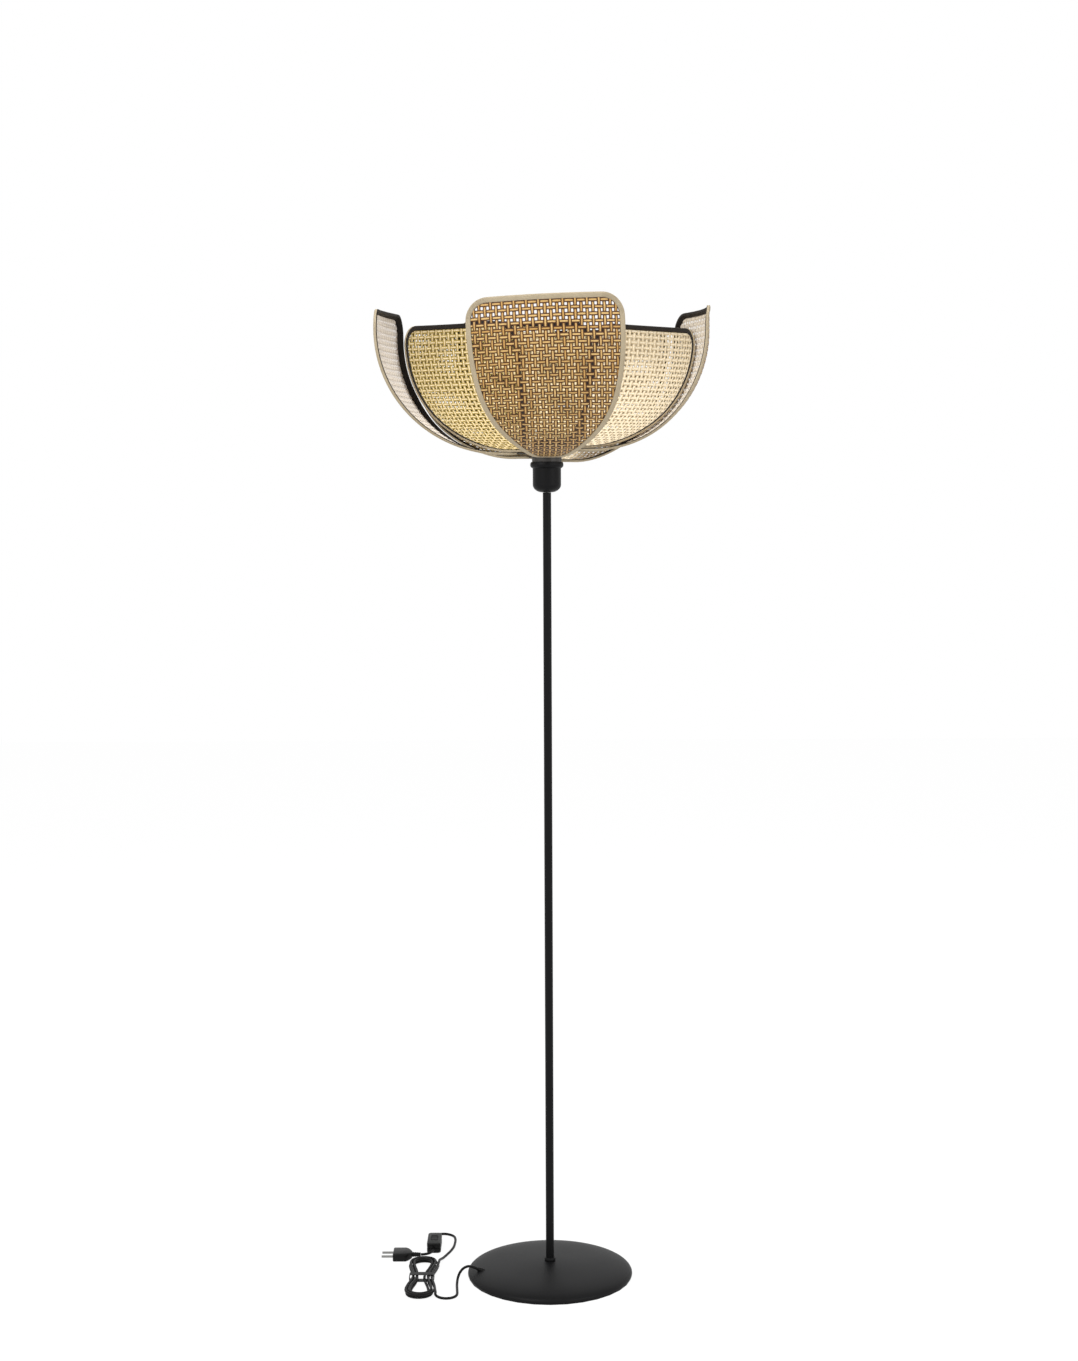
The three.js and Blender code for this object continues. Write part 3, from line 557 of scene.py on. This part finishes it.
# %% Tie round the waist of the hank
tie_half_width, tie_half_thick, tie_corner = 6.5, TIE_BAND / 2, 3.0
tie_side = HANK_WAIST + HANK_LOOPS / 2 * HANK_WAIST_PITCH + CORD_RADIUS + GAP + tie_half_thick
tie_top = HANK_FLOOR + HANK_PITCH + CORD_RADIUS + GAP + tie_half_thick
tie_path = []
for corner_x, corner_z, start in (
    (tie_side, tie_half_thick, -90), (tie_side, tie_top, 0),
    (-tie_side, tie_top, 90), (-tie_side, tie_half_thick, 180),
):
    inward_x = corner_x - math.copysign(tie_corner, corner_x)
    inward_z = corner_z + (tie_corner if corner_z < 1 else -tie_corner)
    for k in range(5):
        turn = math.radians(start + 22.5 * k)
        tie_path.append((inward_x + tie_corner * math.cos(turn), inward_z + tie_corner * math.sin(turn)))
tie_rings = []
for i, (x, z) in enumerate(tie_path):
    before, after = tie_path[i - 1], tie_path[(i + 1) % len(tie_path)]
    along = Vector((after[0] - before[0], after[1] - before[1])).normalized()
    out = Vector((along.y, -along.x))
    ring = []
    for n, y in ((-1, -1), (1, -1), (1, 1), (-1, 1)):
        px, pz = x + out.x * n * tie_half_thick, z + out.y * n * tie_half_thick
        ring.append(Vector((HANK_CENTRE[0] + px, HANK_CENTRE[1] + y * tie_half_width, pz)) * MM)
    tie_rings.append(ring)
tie = soften(swept("hank_tie_band", tie_rings, closed_path=True))
finish_piece(tie, sheath, "cord_black", "stand", "hank_tie")
print("tie", len(tie.data.polygons), "faces")

# %% Length and points of both free cords, in metres
line_length(main_line) * MM
[point * MM for point in main_line]
line_length(plug_line) * MM
[point * MM for point in plug_line]

# %% [markdown]
# ## Turned metal
#
# The dome, the pole, the cup and the lampholder are all round. A potter or a lathe makes them by
# following one outline round an axis. Here a ring of edges is extruded up from step to step, and each
# new ring is scaled to the outline's next radius, just as one would do by hand with E and S.

# %% Turn an outline about the pole's axis
def turned(name, wall, steps):
    """A round piece from the closed outline of its wall, a list of (radius, height) in millimetres."""
    deselect()
    radius, height = wall[0]
    bpy.ops.mesh.primitive_circle_add(vertices=steps, radius=radius * MM, location=(0, 0, height * MM))
    piece = bpy.context.object
    piece.name = name
    bpy.ops.object.mode_set(mode="EDIT")
    bpy.ops.mesh.select_mode(type="VERT")
    bpy.ops.mesh.select_all(action="SELECT")
    for new_radius, new_height in [*wall[1:], wall[0]]:
        rise = (new_height - height) * MM
        bpy.ops.mesh.extrude_region_move(TRANSFORM_OT_translate={"value": (0, 0, rise)})
        factor = new_radius / radius
        middle = (0, 0, new_height * MM)
        bpy.ops.transform.resize(value=(factor, factor, 1), center_override=middle)
        radius, height = new_radius, new_height
    bpy.ops.mesh.select_all(action="SELECT")
    bpy.ops.mesh.remove_doubles(threshold=0.000005)
    bpy.ops.mesh.normals_make_consistent(inside=False)
    bpy.ops.object.mode_set(mode="OBJECT")
    bpy.ops.object.transform_apply(location=True, rotation=True, scale=True)
    return soften(piece, 35)


print("turning ready")

# %% Dome of the base
DOME_INSET, DOME_WALL, SHOULDER = 1.6, 2.5, 7
dome_outer = [
    (136.3, 2.0), (137.2, 2.3), (137.5, 3.4), (137.3, 5.0), (136.3, 6.9), (134.4, 8.8), (131.6, 10.5),
    (127.5, 12.2), (121.5, 14.0), (113, 15.9), (103, 17.6), (92, 19.0), (78, 20.4), (60, 21.8), (38, 23.1),
    (20, 23.8), (9, 24.0),
]
dome_inner = [(5.6, 24.0), (5.6, 21.5)]
dome_inner += [(r - DOME_INSET, z - DOME_WALL) for r, z in reversed(dome_outer[SHOULDER:])]
dome_inner += [(134.4, 6.0), (134.8, 2.0)]
dome = turned("dome_shell", dome_outer + dome_inner, 128)
finish_piece(dome, powder, "black_powder", "stand", "base_shell")
print("dome", len(dome.data.polygons), "faces")

# %% Pole, collar, cup and lampholder
low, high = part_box("pole")
pole_low, pole_high = low.z / MM, high.z / MM
pole_wall = [(6.6, pole_low), (6.75, pole_low + 0.15), (6.75, pole_high - 0.15), (6.6, pole_high)]
pole = turned("pole_tube", pole_wall + [(5.55, pole_high), (5.55, pole_low)], 48)
finish_piece(pole, powder, "black_powder", "stand", "pole")

collar_wall = [(8.7, pole_low), (9.0, pole_low + 0.3), (9.0, pole_low + 3.8), (8.2, pole_low + 5.0)]
collar = turned("pole_collar_ring", collar_wall + [(7.05, pole_low + 5.0), (7.05, pole_low)], 64)
finish_piece(collar, powder, "black_powder", "stand", "pole_collar")

cup_low, cup_high = (corner.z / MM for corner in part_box("cup"))
cup_outer = [(5.3, cup_low), (7.0, cup_low)]
for i in range(1, 11):
    turn = math.radians(9 * i)
    cup_outer.append((7 + 16 * math.sin(turn), cup_low + 12.5 * (1 - math.cos(turn))))
cup_outer += [(23, cup_high - 10.5), (24.4, cup_high - 9.4), (26.1, cup_high - 8.2), (26.9, cup_high - 6.2),
              (27, cup_high - 4.4), (26.5, cup_high - 1.4), (25.4, cup_high - 0.2), (24.4, cup_high)]
cup_inner = [(21.6, cup_high), (21.6, cup_low + 13), (15.6, cup_low + 5.6), (11.1, cup_low + 2.6),
             (5.3, cup_low + 1.6)]
cup = turned("cup_shell", cup_outer + cup_inner, 96)
finish_piece(cup, powder, "black_powder", "stand", "cup")

nut_low, nut_high = (corner.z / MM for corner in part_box("ring_nut"))
nut_wall = [(25.4, nut_low), (26, nut_low + 0.6), (26, nut_high - 0.6), (25.4, nut_high)]
ring_nut = turned("ring_nut_turned", nut_wall + [(20.4, nut_high), (20.4, nut_low)], 72)
finish_piece(ring_nut, plastic, "black_plastic", "stand", "ring_nut")

holder_low, holder_high = (corner.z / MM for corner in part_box("lampholder_body"))
holder_wall = [(19.4, holder_low), (20, holder_low + 0.6), (20, holder_high - 1.0), (19.0, holder_high)]
holder_inner = [(17, holder_high), (17, holder_low + 3), (5.4, holder_low + 3), (5.4, holder_low)]
holder = turned("lampholder_shell", holder_wall + holder_inner, 72)
finish_piece(holder, plastic, "black_plastic", "stand", "lampholder_body")
print("turned pieces: pole, collar, cup, ring nut, lampholder")

# %% Finishes for the fittings that stay as they were packed
for names, material in (
    (("foot_stud", "foot_nut", "nipple", "cup_nut"), zinc),
    (("base_weight",), iron),
    (("base_pad",), rubber),
    (("lampholder_insert",), ceramic),
    (("lampholder_contact",), brass),
):
    for name in names:
        paint(nodes[name], material)
for name, node in nodes.items():
    if name.endswith("_frame"):
        paint(node, hoop_paint)
print("packed fittings finished")

# %% [markdown]
# ## Cane webbing
#
# Cane webbing is woven flat: flat strands of split cane pass over one and under one, and leave a
# square hole at each crossing. Each strand is a flat section swept along its run, rising and diving
# at every crossing. The sheet is woven once, flat, then copied, stretched a little to each petal and
# bent over that petal's bowl, like webbing that is soaked and laid on a former.

# %% Outline of a petal, flat, in millimetres
BOWL_RADIUS, BOWL_FLAT, PETAL_RISE = 265, 73, 41
PETAL_TIP, HALF_WIDTH, CORNER = 49, 121.5, 34
CORNER_STEPS, TOP_STEPS = 8, 12
LAYER_PITCH, STACK_BASE, MIDDLE_LAYER = 5.5, 1354.3, 2
ROLL_START, ROLL_RUN = 150, 120
WIDTH_SHARES = [0.05, 0.14, 0.2, 0.325, 0.455, 0.603, 0.735, 0.84, 0.91, 0.962, 0.992, 1]
LENGTH_SHARES = [0.004, 0.03, 0.085, 0.194, 0.28, 0.367, 0.448, 0.53, 0.61, 0.7, 0.79, 0.89]
PETAL_FIELDS = ("azimuth", "layer", "tilt", "lean", "drop", "section", "roll")
petals = {
    name: dict(zip(PETAL_FIELDS, values))
    for name, values in {
        "front": (3, 1, -1.3, 0.042, 6, 0, 0),
        "left": (-94.8, 2, 0, -0.04, 5, 1500, -7),
        "right": (97.4, 3, 0, 0.018, 2, 360, 4),
        "back": (-171, 2, 0, 0, 0, 0, 0),
        "left_rear_inner": (-146, 3, 1.5, -0.095, 9, 0, 0),
        "right_rear_inner": (137, 4, -1.5, 0.11, 17, 0, 0),
        "left_rear_outer": (-148, 1, 0, 0, 15, 0, 0),
        "right_rear_outer": (157, 0, 0, 0, 15, 0, 0),
    }.items()
}


def petal_arc(petal):
    return BOWL_RADIUS + (MIDDLE_LAYER - petal["layer"]) * LAYER_PITCH - BOWL_FLAT


def petal_end(petal):
    return BOWL_FLAT + petal_arc(petal) * math.pi / 2 + PETAL_RISE - petal["drop"]


REFERENCE_END = petal_end(petals["back"])


def flat_outline(end):
    """Right side from the tip up, the top, then the left side down, as (across, along)."""
    length = end - PETAL_TIP
    side = [(w * HALF_WIDTH, PETAL_TIP + h * length) for w, h in zip(WIDTH_SHARES, LENGTH_SHARES)]
    flank = HALF_WIDTH - CORNER
    for i in range(1, CORNER_STEPS + 1):
        angle = math.radians(90 * i / CORNER_STEPS)
        side.append((flank + CORNER * math.cos(angle), end - CORNER * (1 - math.sin(angle))))
    top = [(flank * (1 - 2 * i / TOP_STEPS), end) for i in range(1, TOP_STEPS)]
    return side + top + [(-t, s) for t, s in reversed(side)]


def carry(petal, t, s, n):
    """The place in the room of a flat point: t across, s along from the pole's axis, n outwards."""
    arc = petal_arc(petal)
    reach = (s - PETAL_TIP) / (petal_end(petal) - PETAL_TIP)
    run = s + petal["lean"] * t * reach
    bend = min(max((run - BOWL_FLAT) / arc, 0), math.pi / 2)
    rest = max(0, run - BOWL_FLAT - arc * math.pi / 2)
    radius = min(run, BOWL_FLAT) + arc * math.sin(bend)
    level = STACK_BASE + petal["layer"] * LAYER_PITCH + (LAYER_PITCH - GAP) / 2
    height = level + arc * (1 - math.cos(bend)) + rest
    section = max(radius, petal["section"])
    out = section + n * math.sin(bend)
    across = t / section
    outward, sideways = radius - section + out * math.cos(across), out * math.sin(across)
    angle = math.radians(petal["azimuth"] + petal["tilt"] * (s - PETAL_TIP) / HALF_WIDTH)
    return Vector((
        outward * math.sin(angle) + sideways * math.cos(angle),
        sideways * math.sin(angle) - outward * math.cos(angle),
        height - n * math.cos(bend),
    )) * MM


outline = flat_outline(REFERENCE_END)
print("outline points:", len(outline), "petal length:", round(REFERENCE_END - PETAL_TIP), "mm")

# %% Where the outline cuts a straight run
def crossings(value, axis):
    """Lowest and highest place where the outline meets a line at this value of the axis."""
    found = []
    for a, b in zip(outline, outline[1:] + outline[:1]):
        if (a[axis] - value) * (b[axis] - value) <= 0 and a[axis] != b[axis]:
            share = (value - a[axis]) / (b[axis] - a[axis])
            found.append(a[1 - axis] + (b[1 - axis] - a[1 - axis]) * share)
    return (min(found), max(found)) if len(found) > 1 else None


print("middle run:", [round(value) for value in crossings(0, 0)])

# %% One cane strand, flat
PITCH_ACROSS, PITCH_ALONG = 9.1, 9.9
STRAND_HALF, STRAND_THICK, STRAND_LIFT = 3.1, 0.40, 0.46
RIDGE = 0.38
STEPS_PER_CROSSING = 4
STRAND_SECTION = [
    (1, 0.35), (RIDGE, 1), (-RIDGE, 1), (-1, 0.35), (-1, -0.35), (-RIDGE, -1), (RIDGE, -1), (1, -0.35),
]
EDGE_MARGIN, SIDE_MARGIN, TIP_MARGIN, TOP_MARGIN = 2.0, 3, 5, 3
SHORTEST_WARP, SHORTEST_WEFT = 20, 10
chance = random.Random(7)


def strand(name, line, span, phase, along_axis, pitch):
    """A flat strand at a given line, over and under the crossings that lie one pitch apart."""
    start, end = span[0] + EDGE_MARGIN, span[1] - EDGE_MARGIN
    count = max(int((end - start) / pitch * STEPS_PER_CROSSING), 2)
    wander, width = chance.uniform(-0.3, 0.3), STRAND_HALF * chance.uniform(0.93, 1.07)
    swing, beat = chance.uniform(0.1, 0.3), chance.uniform(0.02, 0.05)
    rings = []
    for i in range(count + 1):
        run = start + (end - start) * i / count
        wave = math.cos(math.pi * (run / pitch + phase))
        lift = math.copysign(abs(wave) ** 0.6, wave)
        aside = line + wander + swing * math.sin(run * beat + phase)
        half = width * (0.9 + 0.1 * abs(wave))
        level = STRAND_LIFT * lift
        ring = []
        for u, v in STRAND_SECTION:
            side, up = aside + u * half, level + v * STRAND_THICK
            ring.append(Vector((side, run, up) if along_axis else (run, side, up)) * MM)
        rings.append(ring)
    piece = swept(name, rings)
    tone = piece.data.attributes.new("tone", "FLOAT", "POINT")
    tone.data.foreach_set("value", [chance.random()] * len(piece.data.vertices))
    axis = 1 if along_axis else 0
    runs = [vertex.co[axis] / MM / pitch + phase for vertex in piece.data.vertices]
    rise = piece.data.attributes.new("rise", "FLOAT", "POINT")
    rise.data.foreach_set("value", [0.5 + 0.5 * math.cos(math.pi * run) for run in runs])
    return piece


def strand_lines(pitch, low, high):
    """Numbers of the strands, one pitch apart, that lie between two limits."""
    return range(math.ceil(low / pitch), math.floor(high / pitch) + 1)


strands = []
for k in strand_lines(PITCH_ACROSS, SIDE_MARGIN - HALF_WIDTH, HALF_WIDTH - SIDE_MARGIN):
    span = crossings(k * PITCH_ACROSS, 0)
    if span and span[1] - span[0] > SHORTEST_WARP:
        strands.append(strand(f"warp_{k}", k * PITCH_ACROSS, span, k % 2, True, PITCH_ALONG))
for k in strand_lines(PITCH_ALONG, PETAL_TIP + TIP_MARGIN, REFERENCE_END - TOP_MARGIN):
    span = crossings(k * PITCH_ALONG, 1)
    if span and span[1] - span[0] > SHORTEST_WEFT:
        strands.append(strand(f"weft_{k}", k * PITCH_ALONG, span, (k + 1) % 2, False, PITCH_ACROSS))
deselect()
for piece in strands:
    piece.select_set(True)
bpy.context.view_layer.objects.active = strands[0]
bpy.ops.object.join()
webbing = bpy.context.object
webbing.name = "flat_webbing"
soften(webbing, 80)
print("strands:", len(strands), "faces of the flat sheet:", len(webbing.data.polygons))

# %% [markdown]
# ## Cane colour
#
# The outside of split cane is its glossy golden skin, and the inside is paler pith. The flanks of
# each strand and the dives between crossings are painted darker as shade: dark brown on the outside
# face, a darker straw on the inside. The strand's own UV map says which side and how near the edge a
# point is, and two attributes say how high the strand runs there and which tone it has. A third paints
# light on a petal's inner face: paler where that petal is lit more, and a whitish painted sheen where a
# side petal is seen edge-on.

# %% Cane finish
def cane_finish():
    finish = Finish("split_cane", Specular_IOR_Level=0.3)
    around = finish.node("ShaderNodeSeparateXYZ", None, {0: finish.node("ShaderNodeUVMap")}, output=1)
    tone, rise = finish.attribute("tone"), finish.attribute("rise")
    grain, drift = finish.noise(260, 3.0), finish.noise(14, 2.0)
    half_side = 0.5 / len(STRAND_SECTION)
    turn = ((around + half_side) * (2 * math.pi)).sine()
    outside = finish.ramp(turn, -0.1, 0.1)
    ridge = finish.ramp(turn.absolute(), 0.88, 0.94)
    lifted = finish.ramp(outside * rise + (1 - outside) * (1 - rise), 0.10, 0.36)
    # Painted light and sheen: the inner face is painted paler where the petal is lit more, and whitish as a
    # painted sheen on the side petals.
    painted_light_mask = finish.ramp(finish.attribute("painted_light_share"), 0, 0.5)
    painted_sheen_mask = finish.ramp(finish.attribute("painted_light_share"), 0.5, 1)
    golden = finish.blend(tone, (0.60, 0.335, 0.095, 1), (0.78, 0.515, 0.20, 1))
    pith = finish.blend(painted_light_mask, (0.87, 0.71, 0.45, 1), (0.88, 0.77, 0.60, 1))
    pith = finish.blend(painted_sheen_mask, pith, (0.90, 0.83, 0.75, 1))
    top = finish.blend(outside, pith, golden)
    # Painted shade: dark brown for the flanks and dives of the outside face.
    painted_shade = finish.blend(drift, (0.055, 0.016, 0.003, 1), (0.115, 0.042, 0.008, 1))
    straw = finish.blend(painted_light_mask, (0.43, 0.32, 0.09, 1), (0.70, 0.58, 0.38, 1))
    straw = finish.blend(painted_sheen_mask, straw, (0.84, 0.76, 0.67, 1))
    side = finish.blend(outside, straw, painted_shade)
    # Painted shade: the top colour shows only where the strand rides high, on its ridge; its flanks and dives
    # take the darker side colour.
    strand_with_painted_shade = finish.blend(ridge * lifted, side, top)
    speck = finish.ramp(grain, 0.56, 0.76)
    finish.feed("Base Color", finish.blend(speck * 0.22, strand_with_painted_shade, side))
    finish.feed("Roughness", 0.6 - outside * 0.18 + grain * 0.1)
    finish.bump(grain, 0.00008)
    return finish.material


cane = cane_finish()
print("cane finish ready")

# %% Lay a copy of the webbing over each petal's bowl
# How much painted light each petal's inner face takes; above one half it also takes a whitish painted sheen.
PAINTED_LIGHT_SHARE = {"left": 1, "right": 0.8, "right_rear_inner": 0.5, "right_rear_outer": 0.4, "back": 0.2}


def lay_webbing(name, petal):
    """A bent copy of the flat sheet, as long as this petal."""
    piece = webbing.copy()
    piece.data = webbing.data.copy()
    piece.name = f"webbing_{name}"
    bpy.context.scene.collection.objects.link(piece)
    stretch = (petal_end(petal) - PETAL_TIP) / (REFERENCE_END - PETAL_TIP)
    flat = []
    for vertex in piece.data.vertices:
        t, s, n = vertex.co / MM
        flat.extend(carry(petal, t, PETAL_TIP + (s - PETAL_TIP) * stretch, n))
    piece.data.vertices.foreach_set("co", flat)
    piece.data.update()
    # Painted light: how much painted light and sheen this petal's inner face takes.
    painted_light_share = piece.data.attributes.new("painted_light_share", "FLOAT", "POINT")
    painted_light_share.data.foreach_set("value", [PAINTED_LIGHT_SHARE.get(name, 0)] * len(piece.data.vertices))
    return finish_piece(piece, cane, "cane", f"petal_{name}", f"petal_{name}_cane")


for name, petal in petals.items():
    lay_webbing(name, petal)
bpy.data.objects.remove(webbing)
print("webbing laid on", len(petals), "petals")

# %% [markdown]
# ## Tapes
#
# A hoop of wire would cut the strands, so each petal's edge is bound. A beige woven tape covers the
# outside and rolls over the wire, and a black tape covers the inside. Both are swept along the
# outline. A section's point gives the distance in from the edge, the height above the sheet, and
# how much of the extra depth of a side petal's lining it takes.

# %% Tape finish: woven threads across and along the band
# Turn of the weave's two sines, in radians, once along the band and once around its section.
WEAVE_ALONG, WEAVE_AROUND = 4400, 110


def tape_finish(name, thread, gap):
    finish = Finish(name, Roughness=0.78, Specular_IOR_Level=0.3)
    where = finish.node("ShaderNodeUVMap")
    along = finish.node("ShaderNodeSeparateXYZ", None, {0: where}, output=0)
    around = finish.node("ShaderNodeSeparateXYZ", None, {0: where}, output=1)
    weave = (along * WEAVE_ALONG).sine() * (around * WEAVE_AROUND).sine()
    patch = finish.noise(60, 3.0)
    raised = finish.ramp(weave + patch - 0.5, -0.8, 0.6)
    finish.feed("Base Color", finish.blend(raised, (*gap, 1), (*thread, 1)))
    finish.bump(weave, 0.00012)
    return finish.material


beige_tape = tape_finish("beige_tape", (0.57, 0.48, 0.34), (0.40, 0.32, 0.20))
black_tape = tape_finish("black_tape", (0.022, 0.017, 0.014), (0.010, 0.008, 0.007))
print("tape finishes ready")

# %% Sweep both tapes round every petal
BEIGE_SECTION = [
    (6.5, 0.75, 0), (6.4, 1.45, 0), (5.2, 1.9, 0), (3.0, 2.1, 0), (1.0, 2.2, 0), (-0.7, 2.05, 0),
    (-1.6, 1.4, 0), (-1.85, 0.4, 0), (-1.8, -0.7, 0.5), (-1.75, -1.3, 0.9), (-1.3, -1.3, 0.9),
    (-1.5, -0.5, 0.5), (-1.6, 0.2, 0), (-1.1, 1.25, 0), (0.2, 1.75, 0), (3.0, 1.6, 0), (5.6, 1.1, 0),
]
BLACK_SECTION = [
    (6.5, -0.75, 0), (5.6, -1.1, 0), (3.0, -1.6, 0), (0.4, -1.75, 0), (-1.2, -1.5, 0.3), (-1.75, -1.45, 0.9),
    (-1.85, -1.75, 1), (-1.7, -2.15, 1), (-0.8, -2.4, 1), (1.2, -2.4, 1), (2.4, -2.2, 1), (3.2, -2.25, 0.6),
    (4.4, -2.1, 0.2), (5.6, -1.85, 0), (6.4, -1.35, 0),
]
DEPTH_SPREAD, NEAR_SHARE = 120, 0.15


def tape_line(end):
    """A smooth closed line along the outline with its inward direction, flat."""
    loop = [Vector((t, s, 0)) for t, s in flat_outline(end)]
    dense = smooth_line([*loop, loop[0]], 3)[:-1]
    line = []
    for i, point in enumerate(dense):
        tangent = (dense[(i + 1) % len(dense)] - dense[i - 1]).normalized()
        line.append((point, Vector((-tangent.y, tangent.x, 0))))
    return line


def tape(node, part, petal, section, material, slot, replaced):
    """A band swept round one petal, deeper on the far side of a petal that has a deep lining."""
    rings = []
    for point, inward in tape_line(petal_end(petal)):
        far_side = min(max(0.5 + math.copysign(1, petal["roll"]) * point.x / DEPTH_SPREAD, 0), 1)
        upper = min(max((point.y - ROLL_START) / ROLL_RUN, 0), 1)
        deep = abs(petal["roll"]) * upper * (NEAR_SHARE + (1 - NEAR_SHARE) * far_side)
        places = [(point + inward * inside, n - roll * deep) for inside, n, roll in section]
        rings.append([carry(petal, place.x, place.y, n) for place, n in places])
    band = soften(swept(f"{node}_{part}", rings, closed_path=True), 50)
    return finish_piece(band, material, slot, node, f"{node}_{replaced}")


for name, petal in petals.items():
    node = f"petal_{name}"
    tape(node, "binding", petal, BEIGE_SECTION, beige_tape, "beige_tape", "outer_tape")
    tape(node, "lining", petal, BLACK_SECTION, black_tape, "black_tape", "inner_tape")
print("tapes laid on", len(petals), "petals")

# %% [markdown]
# ## Floor and light
#
# The lamp stands on a pale floor in soft light. Seen straight on, or in a mirror, the floor and the
# world are white like the picture's backdrop, and the floor keeps a part of the lamp's own shadow.

# %% White for the camera, plain light for the lamp
WHITE = (1, 1, 1, 1)
FLOOR_SHARE, FLOOR_STRENGTH, WORLD_STRENGTH = 0.85, 1.08, 0.5


def seen_white(graph, lit, white, target, share):
    """Mixes a lit shader with a white one for camera, glossy and transmission rays."""
    seen = graph.node("ShaderNodeLightPath", output="Is Camera Ray")
    for ray in ("Is Glossy Ray", "Is Transmission Ray"):
        seen = seen.larger(graph.node("ShaderNodeLightPath", output=ray))
    shaders = {0: seen * share, 1: Signal(graph, lit.outputs[0]), 2: white}
    mixed = graph.node("ShaderNodeMixShader", None, shaders)
    graph.tree.links.new(mixed.socket, target)


floor_finish = Finish("pale_floor", Base_Color=(0.88, 0.88, 0.88, 1), Roughness=0.9)
floor_white = floor_finish.node("ShaderNodeEmission", None, {"Color": WHITE, "Strength": FLOOR_STRENGTH})
floor_surface = floor_finish.tree.nodes["Material Output"].inputs["Surface"]
seen_white(floor_finish, floor_finish.shader, floor_white, floor_surface, FLOOR_SHARE)
deselect()
bpy.ops.mesh.primitive_plane_add(size=16, location=(0, 0, 0))
floor = bpy.context.object
floor.name = "floor"
floor.data.materials.append(floor_finish.material)

world = bpy.data.worlds.new("studio")
bpy.context.scene.world = world
world.use_nodes = True
studio = Graph(world.node_tree)
world_light = studio.tree.nodes["Background"]
world_light.inputs["Color"].default_value = WHITE
world_light.inputs["Strength"].default_value = WORLD_STRENGTH
world_white = studio.node("ShaderNodeBackground", None, {"Color": WHITE, "Strength": 1})
world_surface = studio.tree.nodes["World Output"].inputs["Surface"]
seen_white(studio, world_light, world_white, world_surface, 1)
print("floor and world ready")

# %% Three soft lamps
AIM = Vector((0, 0, 1.0))
for name, place, size, power in (
    ("key", (-1.9, -2.7, 3.1), 1.8, 60),
    ("fill", (2.4, -2.2, 2.0), 1.8, 24),
    ("top", (0.2, -0.4, 3.9), 1.6, 48),
):
    light = bpy.data.lights.new(name, "AREA")
    light.energy = power
    light.size = size
    lamp = bpy.data.objects.new(name, light)
    lamp.location = place
    lamp.visible_glossy = name != "top"
    lamp.rotation_euler = (AIM - Vector(place)).to_track_quat("-Z", "Y").to_euler()
    bpy.context.scene.collection.objects.link(lamp)
bpy.context.scene.view_settings.view_transform = "Standard"
print("lamps ready")
